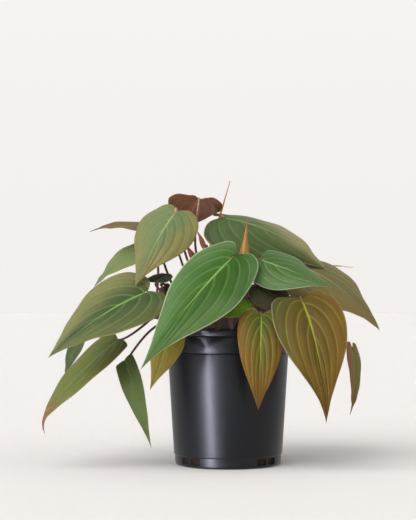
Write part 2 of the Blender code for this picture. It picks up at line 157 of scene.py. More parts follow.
LEAVES = {
    "leaf_01": Leaf(
        (4, -63, 194), (-77, -123, 94), (5, -88, 42), 67, "stem_front", 0.62,
        sweep=-4, fold=-18, cup=-10, lobes=1.05, taper=1.1,
    ),
    "leaf_02": Leaf(
        (28, -42, 192), (96, -62, 165), (14, -78, 54), 49, "stem_front", 0.78,
        droop=8, fold=-14, lobes=0.2, taper=1.2, via=(29, -31, 174),
    ),
    "leaf_03": Leaf(
        (-4, 10, 234), (96, 19, 183), (12, -66, 72), 88, "stem_centre", 0.50,
        droop=48, fold=-18, twist=20, lobes=1.0, via=(-2, 14, 190),
    ),
    "leaf_04": Leaf(
        (62, 16, 190), (144, 0, 126), (45, -60, 65), 86, "stem_right", 0.80,
        droop=50, fold=-6, bronze=True,
    ),
    "leaf_05": Leaf(
        (-28, 10, 251), (-46, 80, 220), (12, 30, 95), 53, "stem_centre", 0.68,
        fold=8, bronze=True, via=(-31, 8, 205),
    ),
    "leaf_06": Leaf(
        (-49, -20, 238), (-85, -60, 167), (-5, -86, 46), 60, "stem_centre", 0.45,
        sweep=-4, fold=-16, lobes=0.85, via=(-40, -6, 197),
    ),
    "leaf_07": Leaf(
        (-72, 2, 222), (-132, 5, 220), (-5, -25, 97), 44, "stem_left_front", 0.95,
        droop=40, via=(-58, -12, 182),
    ),
    "leaf_08": Leaf((-74, -2, 207), (-126, -15, 167), (-45, -50, 75), 44, "stem_left", 0.90),
    "leaf_09": Leaf(
        (-74, -60, 162), (-161, -80, 103), (-38, -73, 60), 75, "stem_left_front", 0.50,
        fold=6, cup=-8, lobes=0.7,
    ),
    "leaf_10": Leaf(
        (-103, -30, 118), (-169, -40, 32), (-50, -60, 60), 43, "stem_left", 0.98,
        droop=22, curl=60, lobes=0.2,
    ),
    "leaf_11": Leaf((-140, 2, 119), (-154, -3, 79), (-60, -50, 40), 24, "stem_left", 0.75),
    "leaf_12": Leaf(
        (-97, -20, 98), (-71, -40, 19), (-55, -80, 12), 25, "stem_left", 0.60,
        sweep=25, fold=10, lobes=0.1,
    ),
    "leaf_13": Leaf(
        (-51, -72, 127), (-70, -95, 75), (20, -90, 30), 29, "stem_left_front", 0.40,
        bronze=True, via=(-42, -48, 137),
    ),
    "leaf_14": Leaf(
        (29, -66, 141), (26, -66, 55), (0, -85, 40), 42, "stem_right_front", 0.40,
        droop=90, lobes=0.5, bronze=True, via=(31, -54, 137),
    ),
    "leaf_15": Leaf(
        (65, -68, 155), (86, -80, 44), (8, -88, 40), 65, "stem_right_front", 0.90,
        droop=85, lobes=0.4, taper=1.3, bronze=True, via=(61, -54, 142),
    ),
    "leaf_16": Leaf((116, -20, 108), (113, -25, 48), (85, -50, 5), 29, "stem_right", 0.40, bronze=True),
    "leaf_17": Leaf(
        (27, -47, 167), (64, -41, 141), (5, -80, 55), 36, "stem_front", 0.60,
        fold=0, bronze=True,
    ),
    "leaf_18": Leaf(
        (19, -55, 148), (-22, -59, 138), (0, -70, 70), 24, "stem_front", 0.20,
        via=(15, -48, 136),
    ),
    "leaf_19": Leaf(
        (-66, -42, 172), (-54, -18, 179), (0, -20, 98), 24, "stem_left_front", 0.62,
        via=(-56, -42, 157),
    ),
    "leaf_20": Leaf(
        (-60, -21, 166), (-57, -32, 150), (10, 70, 60), 16, "stem_left_front", 0.98,
        bronze=True, via=(-57, -16, 168),
    ),
    "leaf_21": Leaf(
        (-28, 66, 150), (-44, 100, 62), (-20, 85, 45), 60, "stem_back_left", 0.50,
        droop=60,
    ),
    "leaf_22": Leaf((17, 70, 162), (26, 112, 62), (15, 88, 40), 66, "stem_back_right", 0.50, droop=60),
    "leaf_23": Leaf(
        (46, 50, 184), (98, 88, 158), (45, 60, 65), 62, "stem_right", 0.60,
        droop=45, bronze=True,
    ),
    "leaf_24": Leaf((30, 60, 196), (52, 122, 150), (20, 70, 70), 62, "stem_back_right", 0.90, droop=45),
    "leaf_25": Leaf(
        (-52, 42, 214), (-84, 96, 190), (-35, 65, 65), 52, "stem_back_left", 0.95,
        droop=45,
    ),
    "leaf_26": Leaf((-90, 40, 148), (-128, 80, 110), (-60, 55, 50), 50, "stem_left", 0.60, droop=45),
    "leaf_27": Leaf((62, 44, 150), (100, 84, 96), (55, 70, 40), 52, "stem_right", 0.25, droop=50),
    "leaf_28": Leaf(
        (13, 54, 218), (18, 112, 190), (5, 55, 80), 52, "stem_centre", 0.92,
        droop=45, bronze=True, via=(-6, 32, 206),
    ),
    "leaf_29": Leaf(
        (-27, 60, 172), (-44, 108, 112), (-30, 75, 55), 48, "stem_back_left", 0.75,
        droop=50,
    ),
}













# The young leaves that are still rolled: their routes in millimetres, and the roll's greatest radius.
SPIKES = {
    "young_leaf_1": (((19, -33, 168), (16, -26, 184), (15, -24, 200), (18, -26, 231)), 5.4),
    "young_leaf_2": (((-26, 62, 176), (-18, 62, 204), (-8, 60, 236), (3, 52, 273)), 1.4),
    "young_leaf_3": (((70, 15, 168), (82, 34, 174), (102, 54, 188), (124, 48, 187)), 1.1),
}
# The sheaths, laid out as narrow blades.
SHEATHS = {
    "sheath_1": Leaf((-31, -3, 190), (-41, -6, 208), (20, -90, 10), 8, "", 0, fold=40),
    "sheath_2": Leaf((-23, -2, 205), (-29, -2, 220), (10, -90, 10), 6, "", 0, fold=40),
    "sheath_3": Leaf((22, -41, 138), (25, -42, 159), (10, -90, 10), 6, "", 0, fold=30),
}













@dataclass
class Coat:
    """One leaf's colours, as sRGB hex: its middle, towards its margins, its veins and its rim.

    patch is a second colour that spreads over part of the blade: reach holds how much it grows along the
    blade, how much it grows across it, and where it starts.
    """

    middle: str
    outer: str
    vein: str
    rim: str
    patch: str = ""
    reach: tuple = (0.0, 0.0, 0.0)
    under: str = "6b4238"


COATS = {
    # leaf_01's outer colour is lightened: partly the blade's own paler outer green, partly painted sheen (the greyish
    # lift on its far lobes).
    "leaf_01": Coat("305616", "527040", "86a85c", "b8c6a0", "5a6c34", (0.9, 0.5, -0.70)),
    "leaf_02": Coat("3a5420", "4c643a", "80a064", "b0bc98"),
    "leaf_03": Coat("40542a", "42502a", "788858", "b09078", "868058", (1.2, 0.5, -0.50)),
    "leaf_04": Coat("5a5a30", "6a6036", "888454", "96745a", "6e6036", (0.4, -0.9, -0.10)),
    "leaf_05": Coat("6f5c3e", "6a523a", "9a8a58", "8a6650", under="965a34"),
    "leaf_06": Coat("62724a", "767648", "9caa68", "94805a", "82784a", (0.5, 0.7, -0.30)),
    "leaf_07": Coat("5c5832", "6c5632", "888c58", "8a664a"),
    "leaf_08": Coat("68743e", "707c4c", "8c9a60", "8c8c64"),
    "leaf_09": Coat("364624", "545830", "84a856", "7c7648", "767448", (0.1, -0.9, -0.15)),
    "leaf_10": Coat("5a662c", "626830", "84905a", "9a785a", "845440", (3.0, 0.0, -2.10)),
    "leaf_11": Coat("424c26", "3e4828", "6e7c58", "7c8464"),
    "leaf_12": Coat("586836", "546434", "7c9058", "8a8a62"),
    "leaf_13": Coat("76702a", "7e702c", "a49850", "9c8a54"),
    "leaf_14": Coat("3e460e", "684c18", "97a42c", "845e3c", "6e4c1c", (0.8, 0.0, -0.25)),
    "leaf_15": Coat("4c3c0c", "6a4e18", "93992c", "8c7c54", "323a10", (-0.8, -0.9, 0.12)),
    "leaf_16": Coat("5e5a20", "665828", "84803e", "88543c", "7c4a30", (0.0, -1.0, -0.25)),
    # leaf_17's colours are all darkened well below a lit green: painted shade, for a leaf that lies in shade behind
    # leaf_01 and leaf_15.
    "leaf_17": Coat("1c1e0c", "38361c", "5a4c30", "7c6450"),
    "leaf_18": Coat("5e8210", "527614", "86a43c", "a08458"),
    "leaf_19": Coat("28361e", "2c381c", "4c5c38", "4a5438"),
    "leaf_20": Coat("3a241a", "34221a", "543c2e", "543c2e", under="341f18"),
}
# The shared coats' undersides are darkened to a near black brown: painted shade, for the back leaves whose undersides
# show in the dark hollow behind the pot's rim.
GREEN_COATS = (
    Coat("445c2c", "4e6234", "7c9858", "a09c70", "5c5834", (1.0, 0.0, -0.60), under="3c261e"),
    Coat("4a6430", "445a2c", "80a05a", "98a47c", under="3c261e"),
    Coat("505c30", "5c5a30", "7c8c50", "94805c", "68543a", (0.7, 0.4, -0.45), under="3c261e"),
)
# These undersides are darkened the same way: painted shade.
BRONZE_COATS = (
    Coat("5a4a20", "5e401e", "8c8e3a", "8a6c4c", "464a24", (0.0, -0.6, -0.20), under="3a221a"),
    Coat("625628", "684826", "92963e", "8e6e4c", under="3a221a"),
)

VEINS = 6.0
VEIN_BEND = 3.0
VEIN_CURVE = 1.20


def linear(hexes, alpha=1.0):
    """The scene-linear colour of an sRGB hex colour."""
    parts = [int(hexes[i : i + 2], 16) / 255.0 for i in (0, 2, 4)]
    return (*(p / 12.92 if p <= 0.04045 else ((p + 0.055) / 1.055) ** 2.4 for p in parts), alpha)


# ---------------------------------------------------------------- routes and blades


def smooth_route(points, count):
    """count points spread evenly in parameter along the smooth curve through the given points."""
    stops = [Vector(point) for point in points]
    ends = [2 * stops[0] - stops[1], *stops, 2 * stops[-1] - stops[-2]]
    route = []
    for i in range(count):
        place = i / (count - 1) * (len(stops) - 1)
        span = min(int(place), len(stops) - 2)
        route.append(spline_point(ends[span : span + 4], place - span))
    return route


def spline_point(four, part):
    """The Catmull-Rom point between the second and third of four points."""
    before, start, end, after = four
    return 0.5 * (
        2 * start
        + (end - before) * part
        + (2 * before - 5 * start + 4 * end - after) * part**2
        + (3 * start - before - 3 * end + after) * part**3
    )


def stem_route(name, count):
    """A stem's points: straight up out of the mix, then along its route."""
    stops = [Vector(stop) * MM for stop in STEMS[name]]
    rooted = stops[0].copy()
    surface = rooted + Vector((0, 0, MIX_LEVEL + MIX_DOME + 0.001 - rooted.z))
    return [rooted, *smooth_route([surface, *stops[1:]], count - 1)]


def heart_margin(rows):
    """The outline's (along, across) points for one half, rows + 1 of them on a smooth curve."""
    outline = [Vector((*point, 0.0)) for point in HEART]
    ends = [Vector((-HEART[1][0], -HEART[1][1], 0.0)), *outline, Vector((1.03, -0.04, 0.0))]
    margin = []
    for row in range(rows + 1):
        place = row / rows * (len(outline) - 1)
        span = min(int(place), len(outline) - 2)
        point = spline_point(ends[span : span + 4], place - span)
        margin.append((point.x, max(point.y, 0.0)))
    return margin


def midrib_frames(leaf):
    """The midrib as (along, point, forward, side, up), bent by its angles and laid from base to tip."""
    base = Vector(leaf.base) * MM
    chord = Vector(leaf.tip) * MM - base
    forward = chord.normalized()
    facing = Vector(leaf.facing)
    up = (facing - facing.dot(forward) * forward).normalized()
    side = up.cross(forward)
    lay = Matrix((forward, side, up)).transposed()
    ways, points = [], [Vector()]
    for step in range(MIDRIB_STEPS + 1):
        along = step / MIDRIB_STEPS
        curl = max(0.0, along - TIP_CURL_START) / (1.0 - TIP_CURL_START)
        pitch = math.radians(leaf.droop * (0.5 - along) - leaf.curl * curl)
        yaw = math.radians(leaf.sweep * (0.5 - along))
        level = math.cos(pitch)
        ways.append(Vector((level * math.cos(yaw), level * math.sin(yaw), math.sin(pitch))))
    for before, after in zip(ways, ways[1:]):
        points.append(points[-1] + (before + after) / (2 * MIDRIB_STEPS))
    straight = points[-1].rotation_difference(Vector((1, 0, 0)))
    size = chord.length / points[-1].length
    frames = []
    for step, (way, point) in enumerate(zip(ways, points)):
        along = step / MIDRIB_STEPS
        local_forward = straight @ way
        local_side = Vector((0, 0, 1)).cross(local_forward).normalized()
        local_side.rotate(Quaternion(local_forward, math.radians(leaf.twist * (along - 0.5))))
        place = base + lay @ (size * (straight @ point))
        frames.append((place, lay @ local_forward, lay @ local_side, lay @ local_forward.cross(local_side)))
    return frames, size


def blade_point(leaf, frames, size, along, across):
    """The point of the upper face at along (in lengths) and across (in half widths, signed)."""
    place = min(max(along, 0.0), 1.0) * MIDRIB_STEPS
    step = min(int(place), MIDRIB_STEPS - 1)
    part = place - step
    point, forward, side, up = (a.lerp(b, part) for a, b in zip(frames[step], frames[step + 1]))
    if along < 0.0:
        point = point + forward * (along * leaf.lobes * size)
    half = 0.5 * leaf.width * MM
    fold = math.radians(leaf.fold)
    cup = math.radians(leaf.cup) + 1e-6
    reach = abs(across)
    out = (math.sin(fold + cup * reach) - math.sin(fold)) / cup
    lift = (math.cos(fold) - math.cos(fold + cup * reach)) / cup
    return point + half * (math.copysign(out, across) * side + lift * up)


def stalk_route(leaf, count):
    """The leaf stalk: out of the side of its stem, up and over, and into the blade from behind."""
    stops = stem_route(leaf.stem, STEM_POINTS)
    place = leaf.at * (STEM_POINTS - 1)
    span = min(int(place), STEM_POINTS - 2)
    node = stops[span].lerp(stops[span + 1], place - span)
    along_stem = (stops[span + 1] - stops[span]).normalized()
    base = Vector(leaf.base) * MM
    forward = (Vector(leaf.tip) * MM - base).normalized()
    facing = Vector(leaf.facing)
    up = (facing - facing.dot(forward) * forward).normalized()
    reach = (base - node).length
    end = base + forward * 0.0015 + up * 0.0002
    target = Vector(leaf.via) * MM if leaf.via else base
    away = target - node
    away = (away - away.dot(along_stem) * along_stem).normalized()
    start = node + away * (STEM_RADIUS + STALK_RADIUS + GAP)
    if leaf.via:
        return smooth_route((start, target, base - up * 0.004 - forward * 0.002, end), count)
    leave = (away * (1.0 - STALK_RISE) + Vector((0, 0, STALK_RISE))).normalized()
    first = start + leave * (0.35 * reach)
    second = base - up * (0.25 * reach) - forward * (0.10 * reach)
    route = []
    for i in range(count):
        t = i / (count - 1)
        near = (1 - t) ** 3 * start + 3 * (1 - t) ** 2 * t * first
        route.append(near + 3 * (1 - t) * t**2 * second + t**3 * end)
    return route


def settle(value, low, high):
    """0 at low, 1 at high and smooth between, with low above high for a falling edge."""
    part = min(max((value - low) / (high - low), 0.0), 1.0)
    return part * part * (3.0 - 2.0 * part)


def blade_grid(leaf, rows, columns):
    """The blade's smooth upper side, as rows of points from its base to its tip."""
    frames, size = midrib_frames(leaf)
    margin = [
        (along, across**leaf.taper if along > WIDEST else across) for along, across in heart_margin(rows)
    ]
    grid = []
    for row in range(rows + 1):
        middle = (row / rows) ** 2
        along_edge, across_edge = margin[row]
        line = []
        for column in range(-columns, columns + 1):
            along = middle + (along_edge - middle) * abs(column) / columns
            line.append(blade_point(leaf, frames, size, along, across_edge * column / columns))
        grid.append(line)
    return grid, [0.5 * leaf.width * MM * across for _, across in margin]


def grid_normal(grid, row, column):
    row = min(max(row, 1), len(grid) - 2)
    along = grid[row + 1][column] - grid[row - 1][column]
    across = grid[row][min(column + 1, len(grid[0]) - 1)] - grid[row][max(column - 1, 0)]
    return along.cross(across).normalized()


def vein_gap(along, across, shift):
    """0 on a side vein and 1 half way between two, from a place's part along and its part across."""
    phase = along * VEINS - VEIN_BEND * abs(across) ** VEIN_CURVE + (0.4 if across > 0 else 0.0) + shift
    return 2.0 * abs(phase - math.floor(phase) - 0.5)


class Shape:
    """Points, faces, UVs and material numbers that are gathered into one mesh."""

    def __init__(self):
        self.points, self.faces, self.uvs, self.finishes = [], [], [], []

    def point(self, place, u, v):
        self.points.append(place)
        self.uvs.append((u, v))
        return len(self.points) - 1

    def face(self, corners, finish=0):
        self.faces.append(corners)
        self.finishes.append(finish)

    def add(self, points, faces, uvs, finish):
        first = len(self.points)
        self.points.extend(points)
        self.uvs.extend(uvs)
        for corners in faces:
            self.face([first + corner for corner in corners], finish)

    def build(self, name, materials):
        mesh = bpy.data.meshes.new(name)
        mesh.from_pydata(self.points, [], self.faces)
        layer = mesh.uv_layers.new(name="UVMap")
        corners = [0] * len(mesh.loops)
        mesh.loops.foreach_get("vertex_index", corners)
        layer.data.foreach_set("uv", [part for corner in corners for part in self.uvs[corner]])
        mesh.polygons.foreach_set("material_index", self.finishes)
        mesh.polygons.foreach_set("use_smooth", [True] * len(self.faces))
        for material in materials:
            mesh.materials.append(material)
        mesh.update()
        return link(name, mesh)


def link(name, mesh):
    piece = bpy.data.objects.new(name, mesh)
    bpy.context.scene.collection.objects.link(piece)
    return piece


def blade_shape(leaf, shift, props):
    """A closed thin blade: quilted between its veins, waved at its margins and ribbed underneath."""
    length = (Vector(leaf.tip) - Vector(leaf.base)).length
    rows = max(30, min(84, round(length / 1.5)))
    columns = max(10, min(26, round(leaf.width / 3.0)))
    grid, halves = blade_grid(leaf, rows, columns)
    scale = min(1.0, leaf.width / 60.0)
    shape = Shape()
    upper, lower = [], []
    for row in range(rows + 1):
        part = row / rows
        fade = settle(part, 0.0, 0.12) * settle(part, 1.0, 0.80)
        tops, bottoms = [], []
        for column in range(-columns, columns + 1):
            across = column / columns
            reach = abs(across)
            normal = grid_normal(grid, row, column + columns)
            gap = vein_gap(part, across, shift)
            quilt = props.quilt_height * scale * math.sin(0.5 * math.pi * gap) * fade
            quilt *= settle(reach, 0.0, 0.30) * settle(reach, 1.0, 0.70)
            groove = props.vein_depth * scale * math.exp(-((reach * halves[row] / 0.0011) ** 2)) * fade
            side = 1.0 if across > 0 else -1.0
            wave = math.sin(2 * math.pi * (part * 2.6 + 0.23 * side + shift)) + 0.5 * math.sin(
                2 * math.pi * (part * 5.7 - 0.31 * side + 2.0 * shift)
            )
            wave *= props.wave_height * scale * reach**3 * fade
            rib = 0.0009 * (1.0 - part) ** 0.8 * math.exp(-((reach * halves[row] / 0.0013) ** 2))
            rib += 0.0002 * settle(gap, 0.25, 0.0) * settle(reach, 1.0, 0.6)
            top = grid[row][column + columns] + normal * (quilt - groove + wave)
            thick = props.blade_thickness * (1.0 - 0.55 * reach**8)
            bottom = top - normal * (thick + (rib + 0.6 * groove) * fade)
            tops.append((top, part, 0.5 + 0.5 * across))
            bottoms.append((bottom, part, 0.5 + 0.5 * across))
        if row in (0, rows):
            tops, bottoms = [tops[columns]], [bottoms[columns]]
        upper.append([shape.point(*each) for each in tops])
        lower.append([shape.point(*each) for each in bottoms])
    wide = 2 * columns
    for column in range(wide):
        shape.face((upper[0][0], upper[1][column], upper[1][column + 1]), 0)
        shape.face((lower[0][0], lower[1][column + 1], lower[1][column]), 1)
        shape.face((upper[-2][column], upper[-1][0], upper[-2][column + 1]), 0)
        shape.face((lower[-2][column], lower[-2][column + 1], lower[-1][0]), 1)
        for row in range(1, rows - 1):
            a, b = upper[row], upper[row + 1]
            shape.face((a[column], b[column], b[column + 1], a[column + 1]), 0)
            a, b = lower[row], lower[row + 1]
            shape.face((a[column], a[column + 1], b[column + 1], b[column]), 1)
    for row in range(rows):
        tops, next_tops, bottoms, next_bottoms = upper[row], upper[row + 1], lower[row], lower[row + 1]
        shape.face((tops[-1], next_tops[-1], next_bottoms[-1], bottoms[-1]), 0)
        shape.face((tops[0], bottoms[0], next_bottoms[0], next_tops[0]), 0)
    return shape


# ---------------------------------------------------------------- geometry nodes


class Growth:
    """One Geometry Nodes tree with named inputs, and the meshes that are grown with it."""

    def __init__(self, name, inputs):
        self.tree = bpy.data.node_groups.new(name, "GeometryNodeTree")
        face = self.tree.interface
        face.new_socket("Geometry", in_out="INPUT", socket_type="NodeSocketGeometry")
        for label, kind, default in inputs:
            socket = face.new_socket(label, in_out="INPUT", socket_type=kind)
            if default is not None:
                socket.default_value = default
        face.new_socket("Geometry", in_out="OUTPUT", socket_type="NodeSocketGeometry")
        self.source = self.tree.nodes.new("NodeGroupInput")
        self.sink = self.tree.nodes.new("NodeGroupOutput")

    def given(self, label):
        return self.source.outputs[label]

    def add(self, kind, inputs=None, **settings):
        """A node with its settings, and with its inputs, by name or number, set or joined."""
        made = self.tree.nodes.new(kind)
        for key, value in settings.items():
            setattr(made, key, value)
        for key, value in (inputs or {}).items():
            if isinstance(value, bpy.types.NodeSocket):
                self.tree.links.new(value, made.inputs[key])
            else:
                made.inputs[key].default_value = value
        return made

    def end(self, geometry, material):
        """Realize Instances and Set Material, which every tree ends in."""
        realized = self.add("GeometryNodeRealizeInstances", {"Geometry": geometry})
        finished = self.add(
            "GeometryNodeSetMaterial", {"Geometry": realized.outputs[0], "Material": material}
        )
        self.tree.links.new(finished.outputs[0], self.sink.inputs[0])

    def grow(self, name, mesh, **values):
        """The mesh that the tree makes of the given one."""
        holder = link(name, mesh)
        grower = holder.modifiers.new(self.tree.name, "NODES")
        grower.node_group = self.tree
        for item in self.tree.interface.items_tree:
            label = item.name.replace(" ", "_").lower()
            if item.in_out == "INPUT" and label in values:
                grower[item.identifier] = values[label]
        bpy.context.view_layer.update()
        graph = bpy.context.evaluated_depsgraph_get()
        grown = bpy.data.meshes.new_from_object(holder.evaluated_get(graph))
        holder.modifiers.remove(grower)
        bpy.data.objects.remove(holder, do_unlink=True)
        bpy.data.meshes.remove(mesh)
        return grown


def sweep_growth():
    """A round section carried along a line of points, its radius read from each point's girth."""
    tree = Growth(
        "sweep along a route",
        (("Sides", "NodeSocketInt", 12), ("Material", "NodeSocketMaterial", None)),
    )
    line = tree.add("GeometryNodeMeshToCurve", {"Mesh": tree.given("Geometry")})
    ring = tree.add("GeometryNodeCurvePrimitiveCircle", {"Resolution": tree.given("Sides"), "Radius": 1.0})
    girth = tree.add("GeometryNodeInputNamedAttribute", {"Name": "girth"}, data_type="FLOAT")
    swept = tree.add(
        "GeometryNodeCurveToMesh",
        {
            "Curve": line.outputs[0],
            "Profile Curve": ring.outputs[0],
            "Scale": girth.outputs[0],
            "Fill Caps": True,
        },
    )
    tree.end(swept.outputs[0], tree.given("Material"))
    return tree


def scatter_growth():
    """Crumbs strewn over a surface: turned, sized and dented at random, with a fixed seed."""
    tree = Growth(
        "scatter crumbs",
        (
            ("Spread", "NodeSocketFloat", 100000.0),
            ("Smallest", "NodeSocketFloat", 0.0005),
            ("Largest", "NodeSocketFloat", 0.0015),
            ("Squash", "NodeSocketFloat", 0.6),
            ("Dent", "NodeSocketFloat", 0.0005),
            ("Detail", "NodeSocketInt", 2),
            ("Seed", "NodeSocketInt", 1),
            ("Material", "NodeSocketMaterial", None),
        ),
    )
    strewn = tree.add(
        "GeometryNodeDistributePointsOnFaces",
        {"Mesh": tree.given("Geometry"), "Density": tree.given("Spread"), "Seed": tree.given("Seed")},
    )
    lump = tree.add(
        "GeometryNodeMeshIcoSphere", {"Radius": 1.0, "Subdivisions": tree.given("Detail")}
    )
    turn = tree.add(
        "FunctionNodeRandomValue",
        {0: (0.0, 0.0, 0.0), 1: (6.283, 6.283, 6.283), "Seed": tree.given("Seed")},
        data_type="FLOAT_VECTOR",
    )
    size = tree.add(
        "FunctionNodeRandomValue",
        {2: tree.given("Smallest"), 3: tree.given("Largest"), "Seed": tree.given("Seed")},
        data_type="FLOAT",
    )
    flat = tree.add("ShaderNodeCombineXYZ", {0: 1.0, 1: 0.75, 2: tree.given("Squash")})
    sized = tree.add(
        "ShaderNodeVectorMath", {0: flat.outputs[0], "Scale": size.outputs[1]}, operation="SCALE"
    )
    turned_way = tree.add("FunctionNodeEulerToRotation", {0: turn.outputs[0]})
    placed = tree.add(
        "GeometryNodeInstanceOnPoints",
        {
            "Points": strewn.outputs["Points"],
            "Instance": lump.outputs[0],
            "Rotation": turned_way.outputs[0],
            "Scale": sized.outputs[0],
        },
    )
    real = tree.add("GeometryNodeRealizeInstances", {"Geometry": placed.outputs[0]})
    place = tree.add("GeometryNodeInputPosition")
    rough = tree.add(
        "ShaderNodeTexNoise", {"Vector": place.outputs[0], "Scale": 900.0, "Detail": 1.0}
    )
    centred = tree.add(
        "ShaderNodeVectorMath", {0: rough.outputs["Color"], 1: (0.5, 0.5, 0.5)}, operation="SUBTRACT"
    )
    dented = tree.add(
        "ShaderNodeVectorMath", {0: centred.outputs[0], "Scale": tree.given("Dent")}, operation="SCALE"
    )
    moved = tree.add(
        "GeometryNodeSetPosition", {"Geometry": real.outputs[0], "Offset": dented.outputs[0]}
    )
    tree.end(moved.outputs[0], tree.given("Material"))
    return tree


def drain_growth():
    """The cutters of the drain slots: pairs of blocks, repeated round a circle of points."""
    tree = Growth(
        "drain slots round a foot",
        (
            ("Pairs", "NodeSocketInt", 4),
            ("Spread", "NodeSocketFloat", 0.13),
            ("Radius", "NodeSocketFloat", 0.05),
            ("Height", "NodeSocketFloat", 0.0056),
            ("Block Size", "NodeSocketVector", (0.012, 0.010, 0.0064)),
            ("Material", "NodeSocketMaterial", None),
        ),
    )
    ring = tree.add(
        "GeometryNodeMeshCircle", {"Vertices": tree.given("Pairs"), "Radius": tree.given("Radius")}
    )
    block = tree.add("GeometryNodeMeshCube", {"Size": tree.given("Block Size")})
    place = tree.add("GeometryNodeInputPosition")
    facing = tree.add(
        "FunctionNodeAlignRotationToVector", {"Vector": place.outputs[0]}, axis="X", pivot_axis="Z"
    )
    placed = tree.add(
        "GeometryNodeInstanceOnPoints",
        {"Points": ring.outputs[0], "Instance": block.outputs[0], "Rotation": facing.outputs[0]},
    )
    half_step = tree.add("ShaderNodeMath", {0: math.pi, 1: tree.given("Pairs")}, operation="DIVIDE")
    lifted = tree.add("ShaderNodeCombineXYZ", {2: tree.given("Height")})
    both = tree.add("GeometryNodeJoinGeometry")
    for operation in ("SUBTRACT", "ADD"):
        halves = {0: half_step.outputs[0], 1: tree.given("Spread")}
        turn = tree.add("ShaderNodeMath", halves, operation=operation)
        turned = tree.add("ShaderNodeCombineXYZ", {2: turn.outputs[0]})
        side = tree.add(
            "GeometryNodeTransform",
            {"Geometry": placed.outputs[0], "Translation": lifted.outputs[0], "Rotation": turned.outputs[0]},
        )
        tree.tree.links.new(side.outputs[0], both.inputs[0])
    tree.end(both.outputs[0], tree.given("Material"))
    return tree


def route_mesh(name, route, girths):
    """A line of points that carries its girth, ready to be swept."""
    mesh = bpy.data.meshes.new(name)
    mesh.from_pydata(route, [(i, i + 1) for i in range(len(route) - 1)], [])
    mesh.attributes.new("girth", "FLOAT", "POINT").data.foreach_set("value", girths)
    steps = [i / (len(route) - 1) for i in range(len(route))]
    mesh.attributes.new("along", "FLOAT", "POINT").data.foreach_set("value", steps)
    return mesh


def swept(tree, name, route, girths, sides, material):
    """(points, faces, uvs) of a swept route, with how far along it each point is as its first UV number."""
    mesh = tree.grow(name, route_mesh(name, route, girths), sides=sides, material=material)
    points = [vertex.co.copy() for vertex in mesh.vertices]
    faces = [list(polygon.vertices) for polygon in mesh.polygons]
    along = [item.value for item in mesh.attributes["along"].data]
    bpy.data.meshes.remove(mesh)
    return points, faces, [(part, 0.5) for part in along]


# ---------------------------------------------------------------- materials


class Finish:
    """One procedural material, put together node by node."""

    def __init__(self, name):
        self.material = bpy.data.materials.new(name)
        self.material.use_nodes = True
        self.tree = self.material.node_tree
        self.shader = self.tree.nodes["Principled BSDF"]

    @classmethod
    def of_tree(cls, tree):
        """The same builder for a tree that isn't a material's."""
        made = cls.__new__(cls)
        made.tree = tree
        return made

    def add(self, kind, inputs=None, output=0, **settings):
        made = self.tree.nodes.new(kind)
        for key, value in settings.items():
            setattr(made, key, value)
        for key, value in (inputs or {}).items():
            self.join(made.inputs[key], value)
        return made.outputs[output]

    def join(self, socket, value):
        if isinstance(value, bpy.types.NodeSocket):
            self.tree.links.new(value, socket)
        else:
            socket.default_value = value

    def maths(self, operation, first, second=0.0, third=0.0):
        return self.add("ShaderNodeMath", {0: first, 1: second, 2: third}, operation=operation)

    def total(self, first, *terms):
        """first plus each (value, weight)."""
        for value, weight in terms:
            first = self.maths("MULTIPLY_ADD", value, weight, first)
        return first

    def edge(self, value, low, high):
        """0 at low, 1 at high and smooth between."""
        turned = low > high
        inputs = {"Value": value, "From Min": min(low, high), "From Max": max(low, high)}
        inputs.update({"To Min": 1.0 if turned else 0.0, "To Max": 0.0 if turned else 1.0})
        return self.add("ShaderNodeMapRange", inputs, interpolation_type="SMOOTHSTEP")

    def blend(self, factor, first, second, how="MIX"):
        return self.add(
            "ShaderNodeMix",
            {0: factor, 6: first, 7: second},
            output=2,
            data_type="RGBA",
            blend_type=how,
        )

    def noise(self, vector, scale, detail=2.0, rough=0.5, stretch=None):
        if stretch:
            vector = self.add("ShaderNodeMapping", {"Vector": vector, "Scale": stretch})
        inputs = {"Vector": vector, "Scale": scale, "Detail": detail, "Roughness": rough}
        return self.add("ShaderNodeTexNoise", inputs)

    def tone(self, colour, value):
        return self.add("ShaderNodeHueSaturation", {"Color": colour, "Value": value})

    def place(self):
        return self.add("ShaderNodeTexCoord", output=3)

    def uv(self):
        """The UV map's two numbers."""
        parts = self.tree.nodes.new("ShaderNodeSeparateXYZ")
        self.tree.links.new(self.add("ShaderNodeUVMap", uv_map="UVMap"), parts.inputs[0])
        return parts.outputs[0], parts.outputs[1]

    def bump(self, height, strength, distance):
        self.join(
            self.shader.inputs["Normal"],
            self.add("ShaderNodeBump", {"Height": height, "Strength": strength, "Distance": distance}),
        )

    def set(self, **values):
        """Sets or joins the shader's own sockets, named with underscores for spaces."""
        for key, value in values.items():
            self.join(self.shader.inputs[key.replace("_", " ")], value)


